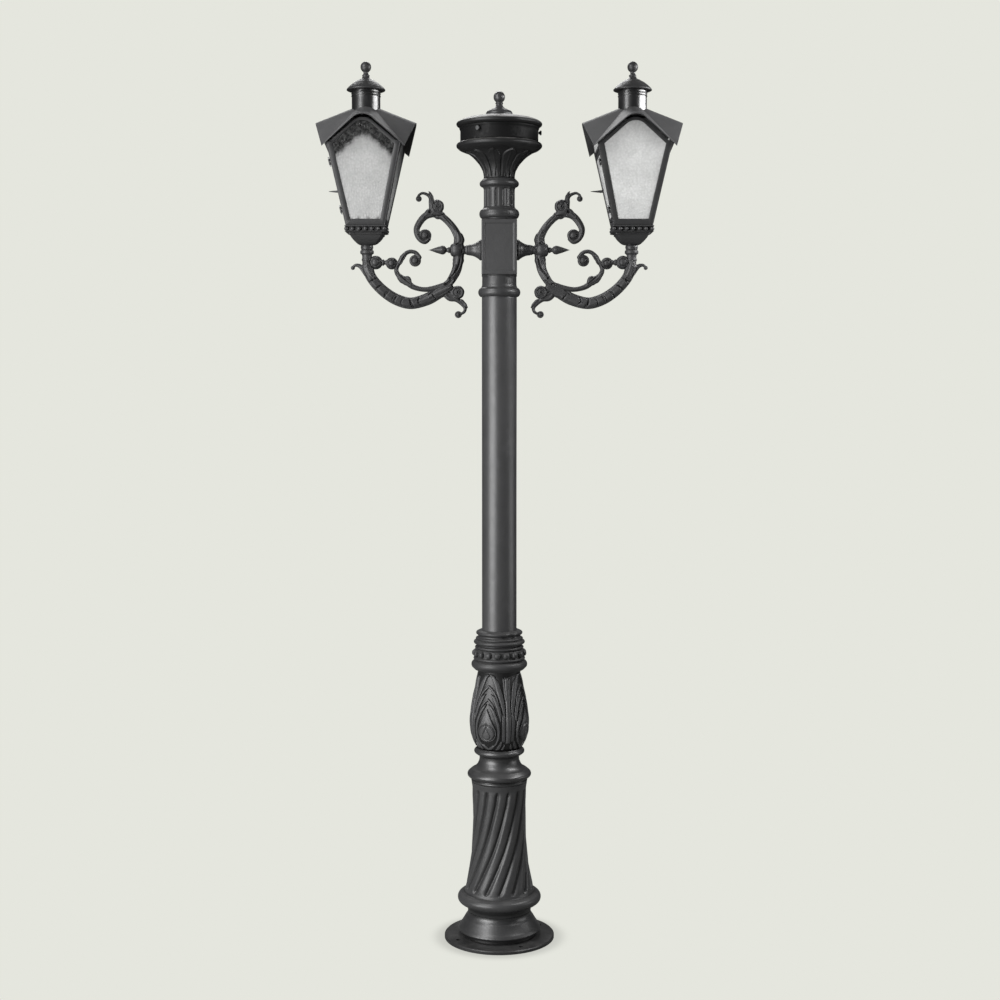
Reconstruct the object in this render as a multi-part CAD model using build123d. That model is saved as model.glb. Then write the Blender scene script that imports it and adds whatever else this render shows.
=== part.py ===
from build123d import *
import math
import os

os.makedirs("parts", exist_ok=True)

# ---------------------------------------------------------------- driving dimensions (mm)
# The post: origin at the centre of the underside of the base flange, +Z up, front faces -Y.
FLANGE_R = 255.0          # base flange radius
FLANGE_T = 16.0           # base flange thickness
ANCHOR_PCD = 425.0        # anchor bolt circle
ANCHOR_R = 11.0           # anchor hole radius (M20 bolts)
CABLE_R = 50.0            # cable entry bore in the flange
SHAFT_R = 79.5            # shaft tube, 159 mm outside diameter
SHAFT_WALL = 5.0
SHAFT_Z0 = 898.0          # shaft tube stands on the waist collar
SHAFT_Z1 = 2968.0
BORE_R = 62.0             # clear bore of the castings below the shaft
BLOCK_HALF = 82.0         # square arm block, half width
BLOCK_Z0 = 3063.0
BLOCK_Z1 = 3309.0
BLOCK_WALL = 9.0
HUB_Z = 3177.0            # height of the arm fixing
HUB_X = 192.0             # centre of the scroll hub
STUD_R = 8.0              # M16 arm studs
LANTERN_X = 598.0         # lantern axis from the post axis
SEAT_Z = 3176.0           # top of the arm socket, where the lantern pan sits
SPIGOT_R = 16.0
BODY_Z0 = 3281.0          # underside of the lantern body
BODY_HALF0 = 88.0         # half width of the lantern body at its underside
TAPER = 12.1              # lantern face lean, degrees
FRAME_T = 12.0            # lantern frame depth
HOOD_Z = 3830.0           # virtual crown of the hood vault
RIDGE = 0.39              # fall of a hood ridge per unit of run
GABLE = 0.867             # slope of a gable side
GABLE_DROP = 20.1
HOOD_CORNER = 182.0       # half width of the hood at its four low corners
HOOD_LEAN = 0.364         # outward lean of the gable ends
HOOD_T = 5.5              # vertical thickness of the hood sheet
CHIMNEY_R = 64.0
DOOR_OPEN = 100.0         # door travel, degrees

PARTS = {}


def save(name, shape):
    PARTS[name] = shape
    export_step(shape, "parts/" + name + ".step")


def face_rz(points):
    """Closed profile in the XZ plane; an entry ('a', mid, end) is an arc through mid."""
    edges = []
    cur = points[0]
    for item in points[1:]:
        if item[0] == "a":
            mid, end = item[1], item[2]
            edges.append(Edge.make_three_point_arc(
                Vector(cur[0], 0, cur[1]), Vector(mid[0], 0, mid[1]), Vector(end[0], 0, end[1])))
            cur = end
        else:
            edges.append(Edge.make_line(Vector(cur[0], 0, cur[1]), Vector(item[0], 0, item[1])))
            cur = item
    if (cur[0] - points[0][0]) ** 2 + (cur[1] - points[0][1]) ** 2 > 1e-9:
        edges.append(Edge.make_line(Vector(cur[0], 0, cur[1]), Vector(points[0][0], 0, points[0][1])))
    return Face(Wire(edges))


def turned(points):
    return revolve(face_rz(points), Axis.Z, 360)


def cyl(r, z0, z1, x=0.0, y=0.0):
    return Pos(x, y, (z0 + z1) / 2) * Cylinder(r, z1 - z0)


def cyl_x(r, x0, x1, y=0.0, z=0.0):
    return Pos((x0 + x1) / 2, y, z) * Rot(0, 90, 0) * Cylinder(r, abs(x1 - x0))


def block(x0, x1, y0, y1, z0, z1):
    return Pos((x0 + x1) / 2, (y0 + y1) / 2, (z0 + z1) / 2) * Box(x1 - x0, y1 - y0, z1 - z0)


def polyhedron(bottom, top):
    """Closed solid between two polygons with the same number of points."""
    faces = [Face(Wire.make_polygon([Vector(*p) for p in bottom], close=True)),
             Face(Wire.make_polygon([Vector(*p) for p in top], close=True))]
    n = len(bottom)
    for i in range(n):
        j = (i + 1) % n
        faces.append(Face(Wire.make_polygon(
            [Vector(*bottom[i]), Vector(*bottom[j]), Vector(*top[j]), Vector(*top[i])], close=True)))
    s = Solid(Shell(faces))
    if s.volume < 0:
        s = Solid(Shell([f.__neg__() for f in faces]))
    return s


def mirrored(shape):
    return mirror(shape, Plane.YZ)


# ---------------------------------------------------------------- base and pedestal
flange = cyl(FLANGE_R, 0, FLANGE_T) - cyl(CABLE_R, -1, FLANGE_T + 1)
flange = chamfer(flange.edges().filter_by(GeomType.CIRCLE).sort_by(Axis.Z)[-2:].sort_by(SortBy.RADIUS)[-1:], 4)
for k in range(4):
    a = math.radians(28 + 90 * k)
    flange -= cyl(ANCHOR_R, -1, FLANGE_T + 1, ANCHOR_PCD / 2 * math.sin(a), -ANCHOR_PCD / 2 * math.cos(a))
save("base_flange", flange)

foot = turned([(182, 16), (192, 16), (193, 24), ("a", (190.5, 42), (180, 57)), ("a", (168.5, 76), (162, 92)),
               ("a", (155, 108), (150, 116)), (150, 128), (134, 128), (134, 112), ("a", (152, 84), (160, 64)),
               ("a", (176, 40), (182, 16))])
save("base_foot", foot)

pedestal = turned([(134, 128), (158, 128), (160, 138), (172, 146), (176, 154), ("a", (193.5, 189), (176, 224)),
                   (163, 232), ("a", (157, 250), (151, 274)), ("a", (141, 322), (134, 370)),
                   ("a", (126, 460), (123, 540)), (122.5, 620), (124.5, 670), (124.5, 712), (128.5, 738),
                   (110, 738), (110, 660), (110, 540), ("a", (112, 440), (120, 360)),
                   ("a", (134, 270), (146, 224)), ("a", (160, 189), (146, 160)), (134, 150)])
save("spiral_pedestal", pedestal)

waist = turned([(BORE_R, 738), (133, 738), (140, 750), ("a", (147.5, 771), (140, 790)), (118, 796),
                ("a", (98, 822), (91.5, 849)), (92, 862), (108, 868), ("a", (117, 881), (108, 894)),
                (104, 898), (BORE_R, 898)])
save("waist_collar", waist)

baluster = turned([(84, 898), (107, 898), ("a", (125, 936), (136, 990)), ("a", (138.5, 1022), (135, 1062)),
                   ("a", (127, 1120), (114, 1180)), (105, 1240), (107, 1262), (84, 1262)])
save("leaf_baluster", baluster)

bead_collar = turned([(80, 1262), (112, 1262), (126, 1276), ("a", (129, 1289), (122, 1302)), (109, 1304),
                      (109, 1324), (122, 1326), ("a", (127, 1336), (122, 1348)), (101, 1356), (101, 1372),
                      (114, 1380), ("a", (119.5, 1392), (114, 1403)), (98, 1406), (98, 1416), (103, 1420),
                      ("a", (107, 1429), (103, 1438)), (90, 1446), (80, 1446)])
save("bead_collar", bead_collar)

shaft = cyl(SHAFT_R, SHAFT_Z0, SHAFT_Z1) - cyl(SHAFT_R - SHAFT_WALL, SHAFT_Z0 - 1, SHAFT_Z1 + 1)
save("shaft_tube", shaft)

shaft_ring = turned([(60, 2940), (74.3, 2940), (74.3, 2968), (88, 2968), ("a", (96, 2987), (88, 3005)), (80, 3012),
                     (78, 3020), (78, 3058), (81, 3063), (60, 3063)])
save("shaft_ring", shaft_ring)

# ---------------------------------------------------------------- arm block
H = BLOCK_HALF
arm_block = block(-H, H, -H, H, BLOCK_Z0, BLOCK_Z1)
arm_block -= block(-H + BLOCK_WALL, H - BLOCK_WALL, -H + BLOCK_WALL, H - BLOCK_WALL, BLOCK_Z0 + 9, BLOCK_Z1 - 9)
arm_block -= cyl(58, BLOCK_Z0 - 1, BLOCK_Z0 + 12)
arm_block -= cyl(40, BLOCK_Z1 - 12, BLOCK_Z1 + 1)
# shallow panel on the front face, raised border left standing
arm_block -= block(-H + 15, H - 15, -H - 1, -H + 2.5, BLOCK_Z0 + 18, BLOCK_Z1 - 18)
# rear hand hole with a rebated cover
arm_block -= block(-52, 52, H - BLOCK_WALL - 1, H + 1, BLOCK_Z0 + 36, BLOCK_Z1 - 36)
for sx in (-1, 1):
    arm_block -= cyl_x(STUD_R + 0.5, sx * (H - 12), sx * (H + 2), 0, HUB_Z)
cover_pts = [(sx * 60, z) for sx in (-1, 1) for z in (BLOCK_Z0 + 28, BLOCK_Z1 - 28)]
for x, z in cover_pts:
    arm_block -= Pos(x, H - 4, z) * Rot(90, 0, 0) * Cylinder(3.0, 12)
save("arm_block", arm_block)

cover = block(-68, 68, H, H + 4, BLOCK_Z0 + 20, BLOCK_Z1 - 20)
cover = fillet(cover.edges().filter_by(Axis.Y), 6)
for x, z in cover_pts:
    cover -= Pos(x, H + 2, z) * Rot(90, 0, 0) * Cylinder(3.0, 6)
save("rear_cover", cover)

screws = []
for x, z in cover_pts:
    s = Pos(x, H + 0.5, z) * Rot(90, 0, 0) * Cylinder(3.0, 7.0)
    s += Pos(x, H + 5.6, z) * Rot(90, 0, 0) * Cylinder(5.6, 3.2)
    screws.append(s.solid() if hasattr(s, "solid") else s)
save("cover_screws", Compound(children=screws))

terminal_plate = block(-50, 50, -73, -70, 3110, 3250)
save("terminal_plate", terminal_plate)
terminal = block(-34, 34, -70, -42, 3150, 3206)
for i in range(4):
    terminal -= cyl(4.5, 3190, 3207, -24 + 16 * i, -52)
save("terminal_block", terminal)

# ---------------------------------------------------------------- capital
neck = turned([(50, 3309), (76, 3309), (78, 3317), (84, 3320), ("a", (90.5, 3338), (84, 3355)), (74, 3362),
               (70, 3368), (70, 3448), (74, 3456), (83, 3460), ("a", (89, 3472), (83, 3484)), (74, 3494),
               (50, 3494)])
save("capital_neck", neck)

bell = turned([(50, 3494), (70, 3494), ("a", (77, 3534), (101, 3570)), ("a", (128, 3596), (160, 3614)), (178, 3622),
               (188, 3630), ("a", (193.5, 3641), (188, 3650)), (178, 3656), (120, 3656), (120, 3640), (92, 3616),
               ("a", (66, 3580), (58, 3534)), (50, 3520)])
save("capital_bell", bell)

drum = turned([(166, 3656), (175.5, 3656), (175.5, 3706), (180, 3716), (180, 3722), (166, 3722)])
cap_screw_angles = [-31, 89, 209]
for deg in cap_screw_angles:
    drum -= Rot(0, 0, deg) * Pos(0, -170, 3698) * Rot(90, 0, 0) * Cylinder(4.0, 30)
save("cap_drum", drum)

knobs = []
for deg in cap_screw_angles:
    s = Pos(0, -172, 3698) * Rot(90, 0, 0) * Cylinder(4.0, 20)
    s += Pos(0, -186, 3698) * Rot(90, 0, 0) * Cylinder(10.5, 9)
    knobs.append((Rot(0, 0, deg) * s).solid())
save("cap_screws", Compound(children=knobs))

lid = turned([(0, 3722), (182, 3722), (189, 3727), ("a", (193.5, 3736), (189, 3744)), ("a", (170, 3754), (139, 3762)),
              (85, 3771), (66, 3775), (0, 3775)])
lid -= cyl(155, 3721, 3744)
lid -= cyl(6.0, 3740, 3780)
save("cap_lid", lid)

finial = turned([(0, 3750), (5.9, 3750), (5.9, 3775), (60, 3775), ("a", (58, 3790), (45, 3799)), (27, 3806), (17, 3816),
                 (13.5, 3826), (15, 3836.26), ("a", (26, 3857.5), (1.0, 3883.481)), (0, 3883.481)])
save("cap_finial", finial)

# ---------------------------------------------------------------- scroll bracket and arm, right hand
# Centre lines are lists of (x, z, width); each is drawn as a flat stroke and extruded.
UPPER = [(180, 3180, 42), (185, 3230, 40), (209, 3278, 36), (250, 3321, 34), (293, 3340, 36), (337, 3326, 34),
         (369, 3283, 30), (372, 3251, 27), (358, 3224, 24), (334, 3211, 22), (312, 3229, 22)]
UPPER_BALL = (334, 3243, 23)
TOP_ROSE = (275, 3372, 28)
TOP_CURL = [(300, 3344, 30), (308, 3386, 22), (316, 3418, 17), (343, 3431, 14), (364, 3422, 12), (366, 3411, 12)]
TOP_TIP = (362, 3406, 14)
LOWER = [(183, 3170, 50), (190, 3100, 48), (209, 3056, 42), (234, 3024, 36), (278, 3008, 32), (338, 3000, 24),
         (388, 3011, 26), (420, 3035, 32), (455, 3062, 24), (466, 3090, 22), (452, 3122, 21), (432, 3154, 20),
         (405, 3170, 20), (378, 3165, 20), (360, 3143, 21)]
LOWER_BALL = (378, 3129, 24)
LOW_ROSE = (188, 2993, 29)
LOW_CURL = [(262, 3010, 40), (229, 2962, 26), (196, 2954, 22), (169, 2935, 21), (155, 2916, 18), (160, 2898, 15), (178, 2888, 14)]
LOW_TIP = (186, 2887, 17)
MAIN = [(262, 2993, 50), (286, 2978, 54), (330, 2955, 55), (401, 2938, 53), (466, 2955, 52), (521, 2990, 50), (565, 3034, 48),
        (588, 3072, 46), (597, 3110, 45)]
HOOK = [(590, 3085, 24), (622, 3104, 18), (644, 3112, 15), (664, 3098, 11)]
KNOB_A = (491, 3119, 27)
KNOB_B = (558, 3123, 30)


def spline_points(points, per=3):
    """Catmull-Rom points between the given centre line points."""
    out = []
    n = len(points)
    for i in range(n - 1):
        p0 = points[max(i - 1, 0)]
        p1, p2 = points[i], points[i + 1]
        p3 = points[min(i + 2, n - 1)]
        for k in range(per):
            t = k / per
            out.append(tuple(
                0.5 * (2 * b + (c - a) * t + (2 * a - 5 * b + 4 * c - d) * t * t + (3 * b - a - 3 * c + d) * t ** 3)
                for a, b, c, d in zip(p0, p1, p2, p3)))
    out.append(points[-1])
    return out


def stroke(points, depth, per=3):
    """Flat stroke of varying width in the XZ plane, extruded to depth about Y = 0."""
    pts = spline_points(points, per)
    piece = None
    for a, b in zip(pts, pts[1:]):
        dx, dz = b[0] - a[0], b[1] - a[1]
        n = math.hypot(dx, dz)
        nx, nz = -dz / n, dx / n
        quad = [(a[0] + nx * a[2] / 2, a[1] + nz * a[2] / 2), (b[0] + nx * b[2] / 2, b[1] + nz * b[2] / 2),
                (b[0] - nx * b[2] / 2, b[1] - nz * b[2] / 2), (a[0] - nx * a[2] / 2, a[1] - nz * a[2] / 2)]
        f = Face(Wire.make_polygon([Vector(x, z, 0) for x, z in quad], close=True))
        c = Pos(b[0], b[1], 0) * Circle(b[2] / 2)
        part = Sketch() + f + c
        piece = part if piece is None else piece + part
    return piece


def disc(item):
    return Pos(item[0], item[1], 0) * Circle(item[2])


def plate(sketch, depth):
    """Stands a flat XY sketch up in the XZ plane and gives it depth about Y = 0."""
    solid = extrude(sketch, amount=depth / 2, both=True)
    return Rot(90, 0, 0) * solid


bracket_2d = (stroke(UPPER, 34) + disc(UPPER_BALL) + disc(TOP_ROSE) + stroke(TOP_CURL, 20) + disc(TOP_TIP)
              + stroke(LOWER, 34) + disc(LOWER_BALL) + disc(LOW_ROSE) + stroke(LOW_CURL, 20) + disc(LOW_TIP)
              + Pos(HUB_X, HUB_Z) * Circle(34))
bracket = plate(bracket_2d, 34)
bracket += Pos(HUB_X, 0, HUB_Z) * Sphere(35)
bracket += cyl_x(23, 140, 192, 0, HUB_Z)
bracket -= cyl_x(STUD_R, 100, 260, 0, HUB_Z)
bracket -= cyl_x(40, 222, 260, 0, HUB_Z)

socket = cyl(22.5, 3100, 3160, LANTERN_X) + cyl(31, 3158, SEAT_Z, LANTERN_X)
arm_2d = stroke(MAIN, 46, 4) + stroke(HOOK, 16)
arm = plate(arm_2d, 44) + socket
arm -= cyl(SPIGOT_R + 0.05, 3112, SEAT_Z + 1, LANTERN_X)
arm -= bracket
arm = max(arm.solids(), key=lambda s: s.volume)

knob = (Pos(KNOB_A[0], 0, KNOB_A[1]) * Sphere(KNOB_A[2]) + Pos(KNOB_B[0], 0, KNOB_B[1]) * Sphere(KNOB_B[2])
        + cyl_x(12, KNOB_A[0], KNOB_B[0], 0, 3121))
knob -= bracket
knob -= arm
knob -= cyl(SPIGOT_R + 0.05, 3112, SEAT_Z + 1, LANTERN_X)
knob = max(knob.solids(), key=lambda s: s.volume)

cone = revolve(face_rz([(0, 0), (47, 0), (45, 6), ("a", (31, 26), (24, 58)), (0, 58)]), Axis.Z, 360)
cone = Pos(BLOCK_HALF, 0, HUB_Z) * Rot(0, 90, 0) * cone
cone -= cyl_x(STUD_R, 70, 160, 0, HUB_Z)

spear = revolve(face_rz([(0, 0), (13, 0), (13, 10), (10, 16), ("a", (17, 26), (19, 36)), (8, 72), (0, 100)]), Axis.Z, 360)
spear = Pos(222, 0, HUB_Z) * Rot(0, 90, 0) * spear
spear -= cyl_x(STUD_R, 200, 243, 0, HUB_Z)

for side, put in (("right", lambda s: s), ("left", mirrored)):
    save(side + "_scroll_bracket", put(bracket))
    save(side + "_main_arm", put(arm))
    save(side + "_link_knobs", put(knob))
    save(side + "_arm_cone", put(cone))
    save(side + "_arm_spear", put(spear))

stud = cyl_x(STUD_R, 60, 243, 0, HUB_Z)
save("arm_studs", Compound(children=[stud.solid(), mirrored(stud).solid()]))
nut = Pos(67, 0, HUB_Z) * Rot(0, 90, 0) * extrude(RegularPolygon(13.9, 6), amount=6, both=True)
nut -= cyl_x(STUD_R, 50, 80, 0, HUB_Z)
save("arm_nuts", Compound(children=[nut.solid(), mirrored(nut).solid()]))

# ---------------------------------------------------------------- lantern
TA = math.tan(math.radians(TAPER))
CA, SA = math.cos(math.radians(TAPER)), math.sin(math.radians(TAPER))


def half(z):
    """Half width of the lantern body at height z."""
    return BODY_HALF0 + TA * (z - BODY_Z0)


def frustum(z0, z1, inset=0.0):
    a, b = half(z0) - inset, half(z1) - inset
    return polyhedron([(-a, -a, z0), (a, -a, z0), (a, a, z0), (-a, a, z0)],
                      [(-b, -b, z1), (b, -b, z1), (b, b, z1), (-b, b, z1)])


def gable_drop(x):
    x = abs(x)
    r = 62.0
    return r - math.sqrt(r * r - x * x) if x < 40.5 else GABLE * x - GABLE_DROP


def vault(crown):
    """Everything under four gables whose ridges fall away from the crown."""
    xs = [-270, -40.5, -28, -14, 0, 14, 28, 40.5, 270]
    run = 300.0
    out = None
    for deg in (0, 90, 180, 270):
        near = [(x, 0.0, crown - gable_drop(x)) for x in xs] + [(270, 0.0, 3000.0), (-270, 0.0, 3000.0)]
        far = [(x, -run, z - RIDGE * run) for x, _, z in near]
        solid = Rot(0, 0, deg) * polyhedron(near, far)
        out = solid if out is None else out + solid
    return out


def gable_ends(shape, offset=0.0, z0=3560.0, z1=3900.0):
    a = HOOD_CORNER + HOOD_LEAN * (z0 - 3621.0) + offset
    b = HOOD_CORNER + HOOD_LEAN * (z1 - 3621.0) + offset
    return shape & polyhedron([(-a, -a, z0), (a, -a, z0), (a, a, z0), (-a, a, z0)],
                              [(-b, -b, z1), (b, -b, z1), (b, b, z1), (-b, b, z1)])


outer_vault = vault(HOOD_Z)
inner_vault = vault(HOOD_Z - HOOD_T)
hood = gable_ends(outer_vault - inner_vault)
hood -= cyl(CHIMNEY_R, 3700, 3900)
hood = max(hood.solids(), key=lambda s: s.volume)

# Face frames: s runs across a face, t up along it, the normal leans down and out.
FACES = {"front": 0, "right": 90, "rear": 180, "left": 270}


def on_face(deg, sketch, inward, outward=0.0):
    """Puts a flat (s, t) sketch on the lantern face and gives it depth along the face normal."""
    plane = Plane(origin=(0, -BODY_HALF0, BODY_Z0), x_dir=(1, 0, 0), z_dir=(0, -CA, -SA))
    solid = extrude(plane.offset(-inward) * sketch, amount=inward + outward)
    return Rot(0, 0, deg) * solid


def t_of(z):
    return (z - BODY_Z0) / CA


def poly(points):
    """Flat face whose normal is +Z, whichever way round its points run."""
    area = sum(a[0] * b[1] - b[0] * a[1] for a, b in zip(points, points[1:] + points[:1]))
    if area < 0:
        points = points[::-1]
    return Face(Wire.make_polygon([Vector(s, t, 0) for s, t in points], close=True))


def window(grow=0.0, z_low=3308.0, side=27.0):
    """Window outline in face coordinates; side is the bar width left beside it."""
    apex = 3727.0 + grow * 1.3
    top = [(s, apex - gable_drop(s)) for s in (0.0, 14.0, 28.0, 40.5)]
    # the straight gable side meets the leaning post
    z = apex - gable_drop(40.5)
    s = 40.5
    while s < half(z) - side + grow:
        s += 0.5
        z = apex - gable_drop(s)
    right = top + [(s, z)]
    low = z_low - grow
    right.append((half(low) - side + grow, low))
    pts = right + [(-s_, z_) for s_, z_ in reversed(right) if s_ > 0]
    return [(s_, t_of(z_)) for s_, z_ in pts]


body = frustum(BODY_Z0, 3800.0) & inner_vault
body -= frustum(BODY_Z0 - 5, 3850.0, FRAME_T / CA)
for name, deg in FACES.items():
    if name != "left":
        body -= on_face(deg, poly(window()), 40, 20)
# the left face: an opening for the door, with a fixed arched light above a transom
DOOR_Z0, DOOR_Z1 = 3303.0, 3604.0
JAMB = 20.0


def trapezoid(z0, z1, inset):
    a, b = half(z0) - inset, half(z1) - inset
    return [(-a, t_of(z0)), (a, t_of(z0)), (b, t_of(z1)), (-b, t_of(z1))]


body -= on_face(270, poly(trapezoid(DOOR_Z0 - 4.5, DOOR_Z1 + 4.8, JAMB)), 40, 20)
TRANSOM_Z = 3624.0


def arched_light(grow=0.0):
    """Arched opening above the transom."""
    low = TRANSOM_Z - grow
    right = [(s, t) for s, t in window(grow) if t > t_of(low) + 1.0 and s >= 0]
    right.append((half(low) - 27.0 + grow, t_of(low)))
    return right + [(-s, t) for s, t in reversed(right) if s > 0]


body -= on_face(270, poly(arched_light()), 40, 20)

# hinge axis: parallel to the leaning front edge of the door opening, just outside the face
HINGE_OUT = 6.5
hinge_dir = Vector(-TA, -TA, 1).normalized()


def hinge_origin(z):
    s = half(z) - JAMB - 0.75
    base = Vector(-half(z), -s, z)
    return base + Vector(-CA, 0, -SA) * HINGE_OUT


def knuckle(z, a0, a1, r):
    o = hinge_origin(z)
    pl = Plane(origin=o, z_dir=hinge_dir)
    return extrude(pl.offset(a0) * Circle(r), amount=a1 - a0)


HINGES = (3350.0, 3555.0)
STILE = 14.0              # door stile width
LATCH_Z = 3451.0
LATCH_S = -(half(LATCH_Z) - JAMB - 2.5 - STILE / 2 + 1.6)


def door_outline(inset, z0, z1):
    """Door outline on the left face; s > 0 is the hinge side."""
    return [(half(z0) - JAMB - 1.5 - inset, t_of(z0)), (half(z1) - JAMB - 1.5 - inset, t_of(z1)),
            (-(half(z1) - JAMB - 2.5 - inset), t_of(z1)), (-(half(z0) - JAMB - 2.5 - inset), t_of(z0))]


door = on_face(270, poly(door_outline(0.0, DOOR_Z0, DOOR_Z1)), FRAME_T)
door -= on_face(270, poly(door_outline(STILE, DOOR_Z0 + 16, DOOR_Z1 - 16)), 20, 10)
door -= on_face(270, poly(door_outline(STILE - 5, DOOR_Z0 + 11, DOOR_Z1 - 11)), 20, -8)
door_pane = on_face(270, poly(door_outline(STILE - 5, DOOR_Z0 + 11, DOOR_Z1 - 11)), FRAME_T, -8)
latch_hole = on_face(270, Pos(LATCH_S, t_of(LATCH_Z)) * Circle(3.05), 30, 10)
door -= latch_hole
body_leaves, door_leaves, pins = [], [], []
for z in HINGES:
    t = t_of(z)
    s_axis = half(z) - JAMB - 0.75
    # body knuckle is the lower one; leaves are laid along the leaning edge
    for lo, hi, sign in ((-18.0, -0.4, 1), (0.4, 18.0, -1)):
        k = knuckle(z, lo, hi, 5.5)
        e0, e1 = (t + lo, t + hi - 3.0) if sign > 0 else (t + lo + 3.0, t + hi)
        lean = TA * CA
        inner, outer = (s_axis, s_axis + 14.0) if sign > 0 else (s_axis - 14.0, s_axis)
        leaf = on_face(270, poly([(inner + lean * (e0 - t), e0), (outer + lean * (e0 - t), e0),
                                  (outer + lean * (e1 - t), e1), (inner + lean * (e1 - t), e1)]), 0.0, 2.6)
        piece = k + leaf
        (body_leaves if sign > 0 else door_leaves).append(piece)
    pins.append(knuckle(z, -21.0, 21.0, 3.0))
for z, piece in zip(HINGES, body_leaves):
    body += piece
    body -= knuckle(z, -30.0, 30.0, 3.0)
for z, piece in zip(HINGES, door_leaves):
    door += piece
    door -= knuckle(z, -30.0, 30.0, 3.05)

handle = Plane(origin=(0, -BODY_HALF0, BODY_Z0), x_dir=(1, 0, 0), z_dir=(0, -CA, -SA))
latch = extrude(handle.offset(-15.5) * Pos(LATCH_S, t_of(LATCH_Z)) * Circle(3.0), amount=24)
latch += extrude(handle.offset(-15.5) * Pos(LATCH_S, t_of(LATCH_Z) + 5.25) * Rectangle(8, 18.5), amount=3)
latch += loft([handle.offset(0.4) * Pos(LATCH_S, t_of(LATCH_Z)) * Circle(7.0),
               handle.offset(8.0) * Pos(LATCH_S, t_of(LATCH_Z)) * Circle(5.0)])
latch += loft([handle.offset(8.0) * Pos(LATCH_S, t_of(LATCH_Z)) * Circle(4.2),
               handle.offset(56.0) * Pos(LATCH_S, t_of(LATCH_Z)) * Circle(1.2)])
latch = Rot(0, 0, 270) * latch

panes = []
for name, deg in FACES.items():
    outline = arched_light(6.0) if name == "left" else window(6.0)
    panes.append(on_face(deg, poly(outline), FRAME_T + 4.0, -FRAME_T).solid())

clips = []
for name, deg in FACES.items():
    if name == "left":
        continue
    for z in (3400.0, 3560.0):
        for sgn in (-1, 1):
            a0, a1, a2 = half(z) - 19.5, half(z) - 14.5, half(z) - 28.0
            t = t_of(z)
            foot_ = on_face(deg, poly([(sgn * a0, t - 5), (sgn * a1, t - 5), (sgn * a1, t + 5), (sgn * a0, t + 5)]),
                            18.5, -12.0)
            finger = on_face(deg, poly([(sgn * a2, t - 5), (sgn * a1, t - 5), (sgn * a1, t + 5), (sgn * a2, t + 5)]),
                             18.5, -16.0)
            clips.append((foot_ + finger).solid())

# pan: dentil gallery over a square ogee, with a spigot for the arm socket
pan = block(-84, 84, -84, 84, 3254, 3277) + block(-93, 93, -93, 93, 3275, BODY_Z0) + block(-94, 94, -94, 94, 3250, 3256)
for k in range(6):
    c = -75 + 30 * k
    pan += block(c - 9, c + 9, -92, 92, 3256, 3275)
    pan += block(-92, 92, c - 9, c + 9, 3256, 3275)
levels = [(80, 3250), (76, 3243), (67, 3234), (52, 3220), (37, 3208), (30, 3200)]
for (a, za), (b, zb) in zip(levels, levels[1:]):
    pan += polyhedron([(-b, -b, zb), (b, -b, zb), (b, b, zb), (-b, b, zb)],
                      [(-a, -a, za), (a, -a, za), (a, a, za), (-a, a, za)])
pan += turned([(0, SEAT_Z), (26, SEAT_Z), ("a", (28.5, 3188), (26, 3200)), (0, 3200)])
pan += cyl(SPIGOT_R, 3122, SEAT_Z)
pan -= cyl(8.0, 3100, 3300)

tray = block(-74, 74, -74, 74, BODY_Z0, BODY_Z0 + 4) - cyl(8.0, 3280, 3290)
holder = turned([(8, 3285), (26, 3285), (26, 3291), (20, 3295), (20, 3335), (14, 3335), (14, 3298), (8, 3298)])
lamp = turned([(0, 3298), (13.2, 3298), (13.2, 3338), (17, 3370.56), ("a", (34, 3400), (1.0, 3433.985)), (0, 3433.985)])

chimney = turned([(CHIMNEY_R - 4, 3768), (CHIMNEY_R, 3768), (CHIMNEY_R, 3857), ("a", (66.5, 3860), (CHIMNEY_R, 3863)),
                  (CHIMNEY_R, 3868), ("a", (66.5, 3871), (CHIMNEY_R, 3874)), (CHIMNEY_R, 3884), (CHIMNEY_R - 4, 3884)])
cap = turned([(0, 3884), (83, 3884), ("a", (87, 3888), (84, 3893)), ("a", (66, 3910), (36, 3930)), ("a", (22, 3938), (15, 3948)),
              (10.5, 3960), (13, 3970.33), ("a", (24, 3990.5), (1.0, 4014.479)), (0, 4014.479)])

for side, x in (("right", LANTERN_X), ("left", -LANTERN_X)):
    at = Pos(x, 0, 0)
    save(side + "_lantern_pan", at * pan)
    save(side + "_lantern_frame", at * body)
    save(side + "_fixed_panes", at * Compound(children=[p for p in panes]))
    save(side + "_glazing_clips", at * Compound(children=[c for c in clips]))
    save(side + "_door_frame", at * door)
    save(side + "_door_pane", at * door_pane)
    save(side + "_hinge_pins", at * Compound(children=[p.solid() for p in pins]))
    save(side + "_door_latch", at * latch)
    save(side + "_hood", at * hood)
    save(side + "_chimney", at * chimney)
    save(side + "_vent_cap", at * cap)
    save(side + "_lamp_tray", at * tray)
    save(side + "_lampholder", at * holder)
    save(side + "_lamp", at * lamp)

print(len(PARTS), "parts")
print("hinge point", [round(v, 3) for v in hinge_origin(3450.0)], "direction", [round(v, 6) for v in hinge_dir])
lp = handle.from_local_coords((LATCH_S, t_of(LATCH_Z), 0))
print("latch point (left face turned 270)", lp)
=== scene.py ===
import bpy, math
import numpy as np
from mathutils import Vector, Matrix


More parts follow.
